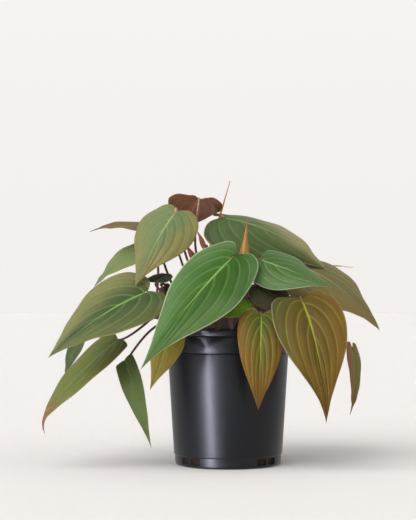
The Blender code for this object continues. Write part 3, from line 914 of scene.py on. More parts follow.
def vein_lines(finish, shift):
    """(part along, part across, its size, gap between side veins, side veins, midrib)."""
    along, v = finish.uv()
    across = finish.maths("MULTIPLY_ADD", v, 2.0, -1.0)
    reach = finish.maths("ABSOLUTE", across)
    right = finish.maths("GREATER_THAN", across, 0.0)
    drift = finish.noise(finish.place(), 22.0, 0.0)
    bend = finish.maths("POWER", reach, VEIN_CURVE)
    phase = finish.total(shift - 0.08, (along, VEINS), (bend, -VEIN_BEND), (right, 0.4), (drift, 0.16))
    gap = finish.maths("MULTIPLY", finish.maths("PINGPONG", finish.maths("ADD", phase, 0.5), 0.5), 2.0)
    veins = finish.total(0.0, (finish.edge(gap, 0.14, 0.0), 0.6), (finish.edge(gap, 0.45, 0.0), 0.4))
    veins = finish.maths("MULTIPLY", veins, finish.edge(along, 0.92, 0.70))
    veins = finish.maths("MULTIPLY", veins, finish.edge(reach, 1.0, 0.78))
    width = finish.maths("MULTIPLY_ADD", along, -0.034, 0.050)
    rib = finish.edge(finish.maths("DIVIDE", reach, width), 1.40, 0.20)
    rib = finish.maths("MULTIPLY", rib, finish.edge(along, 0.99, 0.90))
    return along, across, reach, gap, veins, rib


def leaf_upper(name, coat, shift, props):
    """Velvety upper side: dull between its veins, a paler midrib, a pale rim, and its second colour."""
    finish = Finish(name)
    along, across, reach, gap, veins, rib = vein_lines(finish, shift)
    place = finish.place()
    clouds = finish.noise(place, 32.0, 2.0)
    mottle = finish.noise(place, 190.0, 4.0, 0.65)
    grain = finish.noise(place, 2600.0, 2.0, 0.7)
    spread = finish.total(-0.25, (reach, 0.7), (along, 0.6), (clouds, 0.5))
    colour = finish.blend(finish.edge(spread, 0.35, 1.05), linear(coat.middle), linear(coat.outer))
    if coat.patch:
        grow_along, grow_across, start = coat.reach
        patch = finish.total(start - 0.3, (along, grow_along), (across, grow_across), (clouds, 0.6))
        colour = finish.blend(finish.edge(patch, 0.0, 0.75), colour, linear(coat.patch))
    value = finish.total(0.70, (gap, 0.20), (mottle, 0.30), (grain, 0.10))
    colour = finish.tone(colour, value)
    colour = finish.blend(finish.maths("MULTIPLY", veins, props.vein_show), colour, linear(coat.vein))
    colour = finish.blend(finish.maths("MULTIPLY", rib, 0.75), colour, linear(coat.vein))
    rim = finish.edge(finish.total(0.0, (reach, 1.0), (mottle, 0.02)), 0.968, 0.994)
    colour = finish.blend(finish.maths("MULTIPLY", rim, 0.8), colour, linear(coat.rim))
    height = finish.total(0.0, (gap, 0.5), (veins, -0.7), (rib, -0.9), (mottle, 0.35), (grain, 0.12))
    finish.bump(height, 0.45, 0.0005)
    finish.set(
        Base_Color=colour,
        Roughness=finish.total(0.42, (mottle, 0.22)),
        Specular_IOR_Level=0.16,
        Sheen_Weight=props.velvet,
        Sheen_Roughness=0.42,
        Sheen_Tint=(0.93, 1.0, 0.88, 1.0),
    )
    return finish.material


def leaf_under(name, coat, shift):
    """The satin underside: wine brown, with raised paler veins."""
    finish = Finish(name)
    along, _, reach, gap, veins, rib = vein_lines(finish, shift)
    place = finish.place()
    clouds = finish.noise(place, 36.0, 2.0)
    mottle = finish.noise(place, 260.0, 4.0, 0.6)
    # coat.under is the underside's colour; in the shared coats it is darkened as painted shade.
    base = linear(coat.under)
    pale = tuple(min(1.0, 1.9 * part + 0.03) for part in base[:3]) + (1.0,)
    colour = finish.tone(base, finish.total(0.70, (clouds, 0.35), (mottle, 0.25)))
    colour = finish.blend(finish.maths("MULTIPLY", veins, 0.35), colour, pale)
    colour = finish.blend(finish.maths("MULTIPLY", rib, 0.75), colour, pale)
    finish.bump(finish.total(0.0, (veins, 0.8), (rib, 1.0), (mottle, 0.4), (gap, -0.3)), 0.4, 0.0005)
    finish.set(Base_Color=colour, Roughness=finish.total(0.38, (mottle, 0.2)), Specular_IOR_Level=0.45)
    return finish.material


def stalk_finish(name, foot, top, streak, rough=0.42):
    """A waxy stalk: one colour where it leaves the stem, another at the blade, streaked along it."""
    finish = Finish(name)
    along, _ = finish.uv()
    place = finish.place()
    clouds = finish.noise(place, 90.0, 3.0)
    fibres = finish.noise(place, 700.0, 3.0, 0.6, stretch=(1.0, 1.0, 0.12))
    change = finish.edge(finish.total(-0.15, (along, 1.0), (clouds, 0.3)), 0.35, 1.0)
    colour = finish.blend(change, linear(foot), linear(top))
    colour = finish.blend(finish.maths("MULTIPLY", finish.edge(fibres, 0.5, 0.75), 0.5), colour, linear(streak))
    finish.bump(finish.total(0.0, (fibres, 1.0), (clouds, 0.5)), 0.35, 0.0003)
    finish.set(Base_Color=colour, Roughness=finish.total(rough, (fibres, 0.2)), Specular_IOR_Level=0.5)
    return finish.material


def stem_finish():
    """An older stem: red brown, greener up high, with corky freckles and rings."""
    finish = Finish("woody red stem")
    place = finish.place()
    along, _ = finish.uv()
    clouds = finish.noise(place, 120.0, 3.0)
    cork = finish.noise(place, 420.0, 4.0, 0.65, stretch=(1.0, 1.0, 0.35))
    greening = finish.edge(finish.total(0.0, (along, 0.8), (clouds, 0.4)), 0.4, 1.1)
    colour = finish.blend(greening, linear("4a2a1c"), linear("6a5a30"))
    colour = finish.blend(finish.edge(cork, 0.55, 0.72), colour, linear("8a6e4c"))
    finish.bump(finish.total(0.0, (cork, 1.0), (clouds, 0.6)), 0.5, 0.0004)
    finish.set(Base_Color=colour, Roughness=finish.total(0.45, (cork, 0.3)), Specular_IOR_Level=0.45)
    return finish.material


def young_finish(name, low, high, tip):
    """A rolled young leaf: satin, streaked along its length, warmer at its point, and darkened beside its overlapping
    edge as painted shade.
    """
    finish = Finish(name)
    along, around = finish.uv()
    place = finish.place()
    streaks = finish.noise(place, 600.0, 3.0, 0.6, stretch=(1.0, 1.0, 0.1))
    colour = finish.blend(finish.edge(along, 0.15, 0.55), linear(low), linear(high))
    colour = finish.blend(finish.edge(along, 0.65, 1.0), colour, linear(tip))
    colour = finish.tone(colour, finish.total(0.75, (streaks, 0.5)))
    # Painted shade: the strip just past the roll's overlapping edge is darkened.
    ledge_shade = finish.edge(around, 0.10, 0.0)
    colour = finish.tone(colour, finish.maths("MULTIPLY_ADD", ledge_shade, -0.35, 1.0))
    finish.bump(streaks, 0.3, 0.0003)
    finish.set(Base_Color=colour, Roughness=finish.total(0.35, (streaks, 0.2)), Specular_IOR_Level=0.5)
    return finish.material


def sheath_finish():
    """A drying sheath: papery, with long fibres and a browned edge."""
    finish = Finish("papery sheath")
    along, v = finish.uv()
    reach = finish.maths("ABSOLUTE", finish.maths("MULTIPLY_ADD", v, 2.0, -1.0))
    place = finish.place()
    fibres = finish.noise(place, 900.0, 4.0, 0.65, stretch=(1.0, 1.0, 0.1))
    colour = finish.blend(along, linear("a86a50"), linear("b8826a"))
    colour = finish.blend(finish.edge(reach, 0.7, 1.0), colour, linear("8a5038"))
    colour = finish.tone(colour, finish.total(0.7, (fibres, 0.6)))
    finish.bump(fibres, 0.5, 0.0003)
    finish.set(Base_Color=colour, Roughness=finish.total(0.5, (fibres, 0.25)), Specular_IOR_Level=0.4)
    return finish.material


def pot_finish(props):
    """Moulded black plastic: satin, with the mould's fine texture, faint flow lines and a little dust."""
    finish = Finish("moulded black plastic")
    place = finish.place()
    pores = finish.noise(place, 2400.0, 3.0, 0.6)
    flow = finish.noise(place, 60.0, 3.0, 0.5, stretch=(1.0, 1.0, 0.15))
    scuffs = finish.noise(place, 500.0, 5.0, 0.7, stretch=(0.5, 0.5, 1.6))
    dust = finish.noise(place, 1500.0, 2.0, 0.5)
    height = finish.add("ShaderNodeSeparateXYZ", {0: place}, output=2)
    soiled = finish.maths("MULTIPLY", finish.edge(dust, 0.66, 0.72), finish.edge(height, 0.100, POT_HEIGHT))
    colour = finish.tone(tuple(props.colour) + (1.0,), finish.total(0.75, (flow, 0.5)))
    scuffed = finish.maths("MULTIPLY", finish.edge(scuffs, 0.60, 0.80), 0.22)
    colour = finish.blend(scuffed, colour, linear("55575c"))
    colour = finish.blend(finish.maths("MULTIPLY", soiled, 0.5), colour, linear("7a7466"))
    rough = finish.total(props.roughness - 0.08, (flow, 0.10), (scuffs, 0.10))
    finish.bump(finish.total(0.0, (pores, 0.6), (scuffs, 0.4)), 0.25, 0.00015)
    finish.set(Base_Color=colour, Roughness=rough, Specular_IOR_Level=0.3)
    return finish.material


def crumb_finish(name, dark, light, rough, scale=600.0):
    """Something crumbly: two colours in fine patches, and a coarse surface."""
    finish = Finish(name)
    place = finish.place()
    patches = finish.noise(place, scale, 4.0, 0.65)
    broad = finish.noise(place, 90.0, 2.0)
    mixed = finish.edge(finish.total(-0.2, (patches, 0.8), (broad, 0.5)), 0.25, 0.65)
    finish.bump(patches, 0.7, 0.0006)
    colour = finish.blend(mixed, linear(dark), linear(light))
    finish.set(Base_Color=colour, Roughness=rough, Specular_IOR_Level=0.3)
    return finish.material


def stage_finish(colour):
    finish = Finish("pale matt floor")
    finish.set(Base_Color=(*colour, 1.0), Roughness=0.9, Specular_IOR_Level=0.2)
    return finish.material


# ---------------------------------------------------------------- pieces


def take_place(piece, slot, *nodes):
    """The piece rides with the plant and stands for its solids. slot is not used."""
    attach(piece, "root")
    if nodes:
        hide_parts(*nodes)


def stalk_girths(count):
    """A stalk's radii: thicker at both joints, thinnest under the blade."""
    girths = []
    for i in range(count):
        part = i / (count - 1)
        foot = 0.35 * settle(part, 0.22, 0.0)
        knee = 0.18 * settle(part, 0.84, 0.93) * settle(part, 1.02, 0.95)
        girths.append(STALK_RADIUS * (1.02 - 0.20 * part + foot + knee))
    return girths


def make_leaf(name, leaf, coat, stalk, tree, props):
    """One leaf: its blade, and the stalk that carries it."""
    number = int(name.split("_")[-1])
    shift = (number * 0.377) % 1.0
    shape = blade_shape(leaf, shift, props)
    count = 26
    shape.add(*swept(tree, f"{name}_stalk", stalk_route(leaf, count), stalk_girths(count), 14, stalk), 2)
    piece = shape.build(
        name,
        (leaf_upper(f"{name} upper side", coat, shift, props), leaf_under(f"{name} underside", coat, shift), stalk),
    )
    take_place(piece, "leaf_bronze" if leaf.bronze else "leaf_green", name)
    return piece


def leaf_coat(name, leaf):
    """The leaf's own colours, or one of the shared sets for its age."""
    if name in COATS:
        return COATS[name]
    coats = BRONZE_COATS if leaf.bronze else GREEN_COATS
    return coats[int(name.split("_")[-1]) % len(coats)]


def stem_girths(name, count):
    """A stem's radii, swollen into a ring at each leaf's joint and at the joints between."""
    joints = [leaf.at for leaf in LEAVES.values() if leaf.stem == name] + [0.22, 0.98]
    girths = []
    for i in range(count):
        part = i / (count - 1)
        girth = 1.0 - 0.25 * part
        for joint in joints:
            girth += 0.22 * math.exp(-(((part - joint) / 0.018) ** 2))
        girths.append(STEM_RADIUS * min(girth, 1.22))
    return girths


def rolled_leaf(route, radii, sides):
    """A closed roll along the route: a spiral section, whose free edge is a ledge that winds round it."""
    shape = Shape()
    rings = []
    normal = Vector((0.0, -1.0, 0.0))
    count = len(route)
    for index, (place, radius) in enumerate(zip(route, radii)):
        part = index / (count - 1)
        ahead = (route[min(index + 1, count - 1)] - route[max(index - 1, 0)]).normalized()
        normal = (normal - normal.dot(ahead) * ahead).normalized()
        other = ahead.cross(normal)
        start = 2.4 * part
        ring = []
        for side in range(sides):
            turn = side / sides
            angle = 2 * math.pi * turn + start
            reach = radius * (0.80 + 0.20 * turn ** 0.7 if radius > 0.0008 else 1.0)
            spot = place + reach * (math.cos(angle) * normal + math.sin(angle) * other)
            ring.append(shape.point(spot, part, turn))
        rings.append(ring)
    for ring, above in zip(rings, rings[1:]):
        for side in range(sides):
            ahead = (side + 1) % sides
            shape.face((ring[side], ring[ahead], above[ahead], above[side]))
    shape.face(list(reversed(rings[0])))
    shape.face(rings[-1])
    return shape


def pot_profile():
    """The pot's closed outline as (radius, height), down the outside from its lip and back up inside."""
    under_lip = POT_HEIGHT - LIP_DEPTH
    under_collar = under_lip - COLLAR_DEPTH
    body_top = BODY_TOP_RADIUS - 0.0009
    body_foot = FOOT_RADIUS + 0.0012
    inner_foot = FOOT_RADIUS - WALL
    outline = []
    bead_radius = 0.0012
    for step in range(7):
        angle = math.radians(90 - 15 * step)
        radius = LIP_RADIUS - bead_radius + bead_radius * math.cos(angle)
        outline.append((radius, POT_HEIGHT - bead_radius + bead_radius * math.sin(angle)))
    outline += [
        (LIP_RADIUS, under_lip + 0.0014),
        (LIP_RADIUS - 0.0002, under_lip + 0.0008),
        (LIP_RADIUS - 0.0009, under_lip + 0.0003),
        (LIP_RADIUS - 0.0013, under_lip - 0.0002),
        (COLLAR_RADIUS - 0.0003, under_lip - 0.0006),
        (COLLAR_RADIUS, under_lip - 0.0011),
        (COLLAR_RADIUS - 0.0004, under_collar + 0.0006),
        (COLLAR_RADIUS - 0.0006, under_collar + 0.0001),
        (body_top - 0.0010, under_collar - 0.0002),
        (body_top - 0.0010, under_collar - 0.0010),
        (body_top - 0.0001, under_collar - 0.0017),
        (body_top, under_collar - 0.0024),
        (body_foot, FOOT_HEIGHT + 0.0009),
        (body_foot - 0.0003, FOOT_HEIGHT + 0.0003),
        (body_foot - 0.0009, FOOT_HEIGHT - 0.0003),
        (FOOT_RADIUS + 0.0001, 0.0034),
        (FOOT_RADIUS - 0.0002, 0.0016),
        (FOOT_RADIUS - 0.0008, 0.0005),
        (FOOT_RADIUS - 0.0018, 0.0),
        (0.0300, 0.0),
        (0.0292, 0.0009),
        (0.0, 0.0009),
        (0.0, 0.0009 + WALL),
        (0.0295, 0.0009 + WALL),
        (inner_foot - 0.0016, WALL + 0.0004),
        (inner_foot - 0.0003, 0.0024),
        (inner_foot + 0.0009, FOOT_HEIGHT),
        (body_top - WALL, under_collar - 0.0012),
        (COLLAR_RADIUS - WALL - 0.0004, under_collar + 0.0006),
        (COLLAR_RADIUS - WALL, under_lip),
        (LIP_RADIUS - 0.0026, POT_HEIGHT - 0.0012),
        (LIP_RADIUS - 0.0022, POT_HEIGHT - 0.0003),
    ]
    return outline


def turned_mesh(name, outline, sides):
    """A closed solid turned round Z from an outline that touches the axis twice."""
    shape = Shape()
    rings = []
    for radius, height in outline:
        if radius == 0.0:
            rings.append([shape.point(Vector((0.0, 0.0, height)), 0.0, height)])
            continue
        ring = []
        for side in range(sides):
            angle = 2 * math.pi * side / sides
            spot = Vector((radius * math.cos(angle), radius * math.sin(angle), height))
            ring.append(shape.point(spot, side / sides, height))
        rings.append(ring)
    for ring, below in zip(rings, rings[1:] + rings[:1]):
        if len(ring) == 1 and len(below) == 1:
            continue
        for side in range(sides):
            ahead = (side + 1) % sides
            corners = [
                ring[side % len(ring)],
                below[side % len(below)],
                below[ahead % len(below)],
                ring[ahead % len(ring)],
            ]
            shape.face(list(dict.fromkeys(corners)))
    return shape


def mark_edges(mesh, degrees):
    """Smooth shading, kept crisp at edges that turn by more than the given angle."""
    mesh.polygons.foreach_set("use_smooth", [True] * len(mesh.polygons))
    mesh.set_sharp_from_angle(angle=math.radians(degrees))


def mix_height(x, y):
    """The height of the potting mix's uneven top."""
    spread = min(1.0, math.hypot(x, y) / MIX_RADIUS)
    dome = MIX_DOME * (1.0 - spread**2) - 0.0016 * settle(spread, 0.80, 1.0)
    lumps = noise.fractal(Vector((x, y, 0.3)) * 75.0, 1.0, 2.1, 4)
    return MIX_LEVEL - 0.0018 + dome + 0.0013 * lumps


def mix_top(shape, rings, sectors, radius):
    """Rings of points over the mix's top, from its middle outwards, and their faces."""
    middle = shape.point(Vector((0.0, 0.0, mix_height(0.0, 0.0))), 0.5, 0.5)
    rows = []
    for ring in range(1, rings + 1):
        reach = radius * ring / rings
        row = []
        for sector in range(sectors):
            angle = 2 * math.pi * sector / sectors
            x, y = reach * math.cos(angle), reach * math.sin(angle)
            row.append(shape.point(Vector((x, y, mix_height(x, y))), 0.5, 0.5))
        rows.append(row)
    for sector in range(sectors):
        ahead = (sector + 1) % sectors
        shape.face((middle, rows[0][sector], rows[0][ahead]))
        for row, outer in zip(rows, rows[1:]):
            shape.face((row[sector], outer[sector], outer[ahead], row[ahead]))
    return rows[-1]


# ---------------------------------------------------------------- settings


class PotSettings(bpy.types.PropertyGroup):
    """The nursery pot."""

    colour: bpy.props.FloatVectorProperty(
        name="Plastic colour", description="Colour of the pot's plastic", subtype="COLOR", size=3,
        min=0.0, max=1.0, default=linear("131417")[:3],
    )
    roughness: bpy.props.FloatProperty(
        name="Roughness", description="How dull the pot's plastic is", default=0.30, min=0.0, max=1.0,
    )
    sides: bpy.props.IntProperty(
        name="Sides", description="How many flats the turned wall has", default=160, min=24,
    )


class MixSettings(bpy.types.PropertyGroup):
    """The potting mix and what lies on it."""

    crumb_spread: bpy.props.FloatProperty(
        name="Crumb spread", description="Peat crumbs in each square metre of the top", default=330000.0,
    )
    bark_spread: bpy.props.FloatProperty(
        name="Bark spread", description="Bark chips in each square metre of the top", default=22000.0,
    )
    perlite_spread: bpy.props.FloatProperty(
        name="Perlite spread", description="Perlite grains in each square metre of the top", default=14000.0,
    )
    seed: bpy.props.IntProperty(name="Seed", description="Seed of where the crumbs lie", default=7)


class LeafSettings(bpy.types.PropertyGroup):
    """The leaf blades."""

    blade_thickness: bpy.props.FloatProperty(
        name="Blade thickness", description="Thickness of a blade in its middle", default=0.00045,
        subtype="DISTANCE", unit="LENGTH",
    )
    quilt_height: bpy.props.FloatProperty(
        name="Quilt height", description="Rise of the blade between its side veins", default=0.0008,
        subtype="DISTANCE", unit="LENGTH",
    )
    vein_depth: bpy.props.FloatProperty(
        name="Vein depth", description="Depth of the groove over the midrib", default=0.0006,
        subtype="DISTANCE", unit="LENGTH",
    )
    wave_height: bpy.props.FloatProperty(
        name="Wave height", description="Height of the waves along a margin", default=0.0009,
        subtype="DISTANCE", unit="LENGTH",
    )
    vein_show: bpy.props.FloatProperty(
        name="Vein show", description="How strongly the side veins show", default=0.34, min=0.0, max=1.0,
    )
    velvet: bpy.props.FloatProperty(
        name="Velvet", description="Strength of the upper side's velvet sheen", default=0.08, min=0.0, max=1.0,
    )


class StageSettings(bpy.types.PropertyGroup):
    """The floor, the light and the camera."""

    floor_colour: bpy.props.FloatVectorProperty(
        name="Floor colour", description="Colour of the floor", subtype="COLOR", size=3,
        min=0.0, max=1.0, default=linear("e3dfdc")[:3],
    )
    backdrop_low: bpy.props.FloatVectorProperty(
        name="Backdrop low", description="The backdrop where it meets the floor", subtype="COLOR", size=3,
        min=0.0, max=1.0, default=linear("f3efec")[:3],
    )
    backdrop_high: bpy.props.FloatVectorProperty(
        name="Backdrop high", description="The backdrop over the plant", subtype="COLOR", size=3,
        min=0.0, max=1.0, default=linear("f5f4f3")[:3],
    )
    box_bearing: bpy.props.FloatProperty(
        name="Soft box bearing", description="Degrees to the right of the viewer", default=-39.0,
    )
    box_light: bpy.props.FloatProperty(
        name="Strip light", description="Strength of the narrow soft box", default=66.0,
    )
    box_glow: bpy.props.FloatProperty(
        name="Box glow", description="Strength of the wide soft box", default=2.3,
    )
    sky: bpy.props.FloatProperty(name="Sky", description="Strength of the light all round", default=0.60)
    key: bpy.props.FloatProperty(
        name="Key light", description="Strength of the wide soft light", default=2.4, min=0.0,
    )
    lens: bpy.props.FloatProperty(
        name="Lens", description="Focal length of the camera", default=93.25, subtype="DISTANCE_CAMERA", unit="CAMERA",
    )


SETTINGS = {
    "philodendron_pot": PotSettings,
    "philodendron_mix": MixSettings,
    "philodendron_leaves": LeafSettings,
    "philodendron_stage": StageSettings,
}


# ---------------------------------------------------------------- operators


class PHILODENDRON_OT_pot(bpy.types.Operator):
    """Turn the nursery pot and cut its drain slots"""

    bl_idname = "philodendron.pot"
    bl_label = "Nursery Pot"

    def execute(self, context):
        props = context.scene.philodendron_pot
        finish = pot_finish(props)
        blank = turned_mesh("pot_blank", pot_profile(), props.sides).build("pot_blank", (finish,))
        cutters = drain_growth().grow(
            "drain_slots",
            bpy.data.meshes.new("drain_slots"),
            pairs=DRAIN_PAIRS,
            spread=DRAIN_SPREAD,
            radius=FOOT_RADIUS,
            height=0.5 * (DRAIN_LOW + DRAIN_HIGH),
            block_size=(DRAIN_REACH, DRAIN_WIDTH, DRAIN_HIGH - DRAIN_LOW),
            material=finish,
        )
        cutter = link("drain_slots", cutters)
        rounding = cutter.modifiers.new("rounding", "BEVEL")
        rounding.width = 0.0011
        rounding.segments = 3
        cut = blank.modifiers.new("drain_slots", "BOOLEAN")
        cut.operation = "DIFFERENCE"
        cut.solver = "EXACT"
        cut.object = cutter
        context.view_layer.update()
        mesh = bpy.data.meshes.new_from_object(blank.evaluated_get(context.evaluated_depsgraph_get()))
        for spare in (blank, cutter):
            bpy.data.objects.remove(spare, do_unlink=True)
        mark_edges(mesh, 38)
        pot = link("nursery_pot", mesh)
        take_place(pot, "pot_black", "pot")
        return {"FINISHED"}


class PHILODENDRON_OT_mix(bpy.types.Operator):
    """Fill the pot with potting mix and strew crumbs, bark and perlite over it"""

    bl_idname = "philodendron.mix"
    bl_label = "Potting Mix"

    def execute(self, context):
        props = context.scene.philodendron_mix
        dark = crumb_finish("damp peat", "120c09", "33241a", 0.92)
        shape = Shape()
        edge = mix_top(shape, 46, 120, MIX_RADIUS - 0.0004)
        sectors = len(edge)
        skirt = []
        for radius, height in ((MIX_RADIUS - 0.0004, MIX_LEVEL - 0.009), (MIX_RADIUS - 0.006, MIX_LOW.z)):
            row = []
            for sector in range(sectors):
                angle = 2 * math.pi * sector / sectors
                place = Vector((radius * math.cos(angle), radius * math.sin(angle), height))
                row.append(shape.point(place, 0.5, 0.5))
            skirt.append(row)
        for upper, lower in ((edge, skirt[0]), (skirt[0], skirt[1])):
            for sector in range(sectors):
                ahead = (sector + 1) % sectors
                shape.face((upper[sector], lower[sector], lower[ahead], upper[ahead]))
        shape.face(list(reversed(skirt[1])))
        bed = shape.build("potting_mix_bed", (dark,))
        take_place(bed, "potting_mix", "potting_mix")
        tree = scatter_growth()
        peat = crumb_finish("peat crumbs", "150e0a", "3e2c20", 0.95)
        bark = crumb_finish("bark chips", "2a1a10", "6b4a30", 0.85, 400.0)
        perlite = crumb_finish("perlite grains", "b8b2a6", "e6e3dc", 0.8, 1200.0)
        kinds = (
            ("peat_crumbs", peat, props.crumb_spread, 0.0005, 0.0015, 0.8, 0.0009, 1, 0.0500),
            ("bark_chips", bark, props.bark_spread, 0.0014, 0.0034, 0.35, 0.0012, 2, 0.0470),
            ("perlite_grains", perlite, props.perlite_spread, 0.0007, 0.0015, 0.9, 0.0009, 2, 0.0480),
        )
        for index, (name, finish, spread, small, large, squash, dent, detail, radius) in enumerate(kinds):
            lawn = Shape()
            mix_top(lawn, 24, 48, radius)
            scratch = lawn.build(f"{name}_bed", ())
            mesh = scratch.data
            bpy.data.objects.remove(scratch, do_unlink=True)
            grown = tree.grow(
                name, mesh, spread=spread, smallest=small, largest=large, squash=squash, dent=dent,
                detail=detail, seed=props.seed + index, material=finish,
            )
            mark_edges(grown, 40)
            take_place(link(name, grown), "potting_mix")
        return {"FINISHED"}


class PHILODENDRON_OT_stems(bpy.types.Operator):
    """Sweep the rooted stems, with a ring at each joint"""

    bl_idname = "philodendron.stems"
    bl_label = "Stems"

    def execute(self, context):
        tree = sweep_growth()
        finish = stem_finish()
        for name in STEMS:
            count = 90
            shape = Shape()
            route = smooth_route(stem_route(name, STEM_POINTS), count)
            shape.add(*swept(tree, name, route, stem_girths(name, count), 18, finish), 0)
            take_place(shape.build(f"{name}_grown", (finish,)), "stem_red", name)
        return {"FINISHED"}


class PHILODENDRON_OT_leaves(bpy.types.Operator):
    """Grow every leaf on its stalk"""

    bl_idname = "philodendron.leaves"
    bl_label = "Leaves"

    def execute(self, context):
        props = context.scene.philodendron_leaves
        tree = sweep_growth()
        red = stalk_finish("red leaf stalk", "4f2418", "7a4030", "6a3a28")
        pale = stalk_finish("pale leaf stalk", "7a3426", "b59a72", "9a5a44")
        for name, leaf in LEAVES.items():
            stalk = pale if name in ("leaf_05", "leaf_06", "leaf_09") else red
            make_leaf(name, leaf, leaf_coat(name, leaf), stalk, tree, props)
        return {"FINISHED"}


class PHILODENDRON_OT_young(bpy.types.Operator):
    """Roll the young leaves and fold the sheaths they left"""

    bl_idname = "philodendron.young"
    bl_label = "Young Leaves and Sheaths"

    def execute(self, context):
        finishes = {
            "young_leaf_1": young_finish("orange young leaf", "8c6816", "946c1a", "90501e"),
            "young_leaf_2": young_finish("amber young leaf", "a07038", "b07c30", "a8682c"),
            "young_leaf_3": young_finish("pink young leaf", "b07a68", "9a9a58", "b89078"),
        }
        for name, (stops, thickest) in SPIKES.items():
            count = 44
            route = smooth_route([Vector(stop) * MM for stop in stops], count)
            radii = []
            for index in range(count):
                part = index / (count - 1)
                slope = 0.55 if part < 0.55 else 0.45
                swell = settle(1.0 - abs(part - 0.55) / slope, 0.0, 1.0)
                radii.append(MM * (0.35 + (thickest - 0.35) * swell))
            piece = rolled_leaf(route, radii, 30).build(f"{name}_rolled", (finishes[name],))
            mark_edges(piece.data, 50)
            take_place(piece, "young_leaf", name)
        papery = sheath_finish()
        props = context.scene.philodendron_leaves
        for index, (name, sheath) in enumerate(SHEATHS.items()):
            shape = blade_shape(sheath, 0.3 * index, props)
            shape.finishes = [0] * len(shape.finishes)
            take_place(shape.build(f"{name}_folded", (papery,)), "sheath_pink", name)
        return {"FINISHED"}


class PHILODENDRON_OT_stage(bpy.types.Operator):
    """Lay the floor, set the lights and stand the camera"""

    bl_idname = "philodendron.stage"
    bl_label = "Floor, Light and Camera"

    def execute(self, context):
        props = context.scene.philodendron_stage
        scene = context.scene
        shape = Shape()
        far = 40.0
        square = ((-far, -far), (far, -far), (far, far), (-far, far))
        corners = [shape.point(Vector((x, y, -0.0002)), 0.0, 0.0) for x, y in square]
        shape.face(corners)
        floor = shape.build("floor", (stage_finish(props.floor_colour),))
        floor.visible_glossy = False
        scene.world = studio_sky(props)
        add_sun("key", (-36.0, 42.0), 55.0, props.key)
        add_sun("fill", (48.0, 25.0), 70.0, 0.18 * props.key)
        scene.view_settings.view_transform = "Standard"
        lens = bpy.data.cameras.new("camera")
        lens.lens = props.lens
        lens.sensor_width = 36.0
        camera = link_any("camera", lens)
        camera.location = (-0.019, -1.28, 0.147)
        camera.rotation_euler = (math.radians(92.04), 0.0, 0.0)
        scene.camera = camera
        return {"FINISHED"}


def link_any(name, data):
    made = bpy.data.objects.new(name, data)
    bpy.context.scene.collection.objects.link(made)
    return made


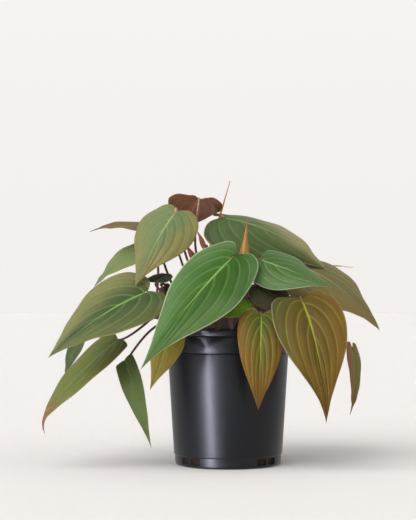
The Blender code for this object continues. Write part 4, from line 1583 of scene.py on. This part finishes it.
def studio_sky(props):
    """A plain pale backdrop, the weaker light that it gives off all round, and the soft boxes that gloss shows."""
    sky = bpy.data.worlds.new("studio")
    sky.use_nodes = True
    finish = Finish.of_tree(sky.node_tree)
    way = finish.add("ShaderNodeTexCoord", output=0)
    parts = sky.node_tree.nodes.new("ShaderNodeSeparateXYZ")
    finish.join(parts.inputs[0], way)
    backdrop = finish.blend(
        finish.edge(parts.outputs[2], 0.0, 0.28), (*props.backdrop_low, 1.0), (*props.backdrop_high, 1.0)
    )
    gloss = 0.0
    bearing = math.radians(props.box_bearing)
    ahead = finish.total(0.0, (parts.outputs[0], math.sin(bearing)), (parts.outputs[1], -math.cos(bearing)))
    aside = finish.total(0.0, (parts.outputs[0], math.cos(bearing)), (parts.outputs[1], math.sin(bearing)))
    aside = finish.maths("DIVIDE", finish.maths("ABSOLUTE", aside), finish.maths("MAXIMUM", ahead, 0.001))
    upright = finish.edge(finish.maths("ABSOLUTE", parts.outputs[2]), 0.75, 0.60)
    for half_width, strength in ((0.055, props.box_light), (0.50, props.box_glow)):
        band = finish.maths("MULTIPLY", finish.edge(aside, half_width, 0.6 * half_width), upright)
        gloss = finish.total(gloss, (finish.maths("MULTIPLY", band, finish.edge(ahead, 0.0, 0.1)), strength))
    shown = finish.add("ShaderNodeBackground", {"Color": backdrop, "Strength": 1.0})
    light = finish.add("ShaderNodeBackground", {"Color": (1.0, 0.995, 0.985, 1.0), "Strength": props.sky})
    boxes = finish.add("ShaderNodeBackground", {"Color": (0.82, 0.82, 1.0, 1.0), "Strength": gloss})
    ray = sky.node_tree.nodes.new("ShaderNodeLightPath")
    glossy = finish.add("ShaderNodeMixShader", {0: ray.outputs["Is Glossy Ray"], 2: boxes})
    both = finish.add("ShaderNodeAddShader", {0: light, 1: glossy})
    mixed = finish.add("ShaderNodeMixShader", {0: ray.outputs["Is Camera Ray"], 1: both, 2: shown})
    finish.join(sky.node_tree.nodes["World Output"].inputs[0], mixed)
    return sky


def add_sun(name, bearing, softness, strength):
    """A wide soft light at (degrees to the right of the viewer, degrees up)."""
    lamp = bpy.data.lights.new(name, "SUN")
    lamp.energy = strength
    lamp.angle = math.radians(softness)
    light = link_any(name, lamp)
    round_z, up = (math.radians(angle) for angle in bearing)
    place = Vector((math.sin(round_z) * math.cos(up), -math.cos(round_z) * math.cos(up), math.sin(up)))
    light.location = place
    light.rotation_euler = place.to_track_quat("Z", "Y").to_euler()
    return light


class PHILODENDRON_PT_panel(bpy.types.Panel):
    """The steps of building the plant, in order"""

    bl_label = "Philodendron"
    bl_idname = "PHILODENDRON_PT_panel"
    bl_space_type = "VIEW_3D"
    bl_region_type = "UI"
    bl_category = "Philodendron"

    def draw(self, context):
        for name, settings in SETTINGS.items():
            box = self.layout.box()
            box.label(text=settings.__doc__)
            for key in settings.__annotations__:
                box.prop(getattr(context.scene, name), key)
        for step in STEPS:
            self.layout.operator(step.bl_idname)


STEPS = (
    PHILODENDRON_OT_stage,
    PHILODENDRON_OT_pot,
    PHILODENDRON_OT_mix,
    PHILODENDRON_OT_stems,
    PHILODENDRON_OT_leaves,
    PHILODENDRON_OT_young,
)
CLASSES = (*SETTINGS.values(), *STEPS, PHILODENDRON_PT_panel)


def register():
    for each in CLASSES:
        bpy.utils.register_class(each)
    for name, settings in SETTINGS.items():
        setattr(bpy.types.Scene, name, bpy.props.PointerProperty(type=settings))


def unregister():
    for name in SETTINGS:
        delattr(bpy.types.Scene, name)
    for each in reversed(CLASSES):
        bpy.utils.unregister_class(each)


def main():
    """Builds every piece in order."""
    register()
    bpy.ops.philodendron.stage()
    bpy.ops.philodendron.pot()
    bpy.ops.philodendron.mix()
    bpy.ops.philodendron.stems()
    bpy.ops.philodendron.leaves()
    bpy.ops.philodendron.young()


if __name__ == "__main__":
    main()
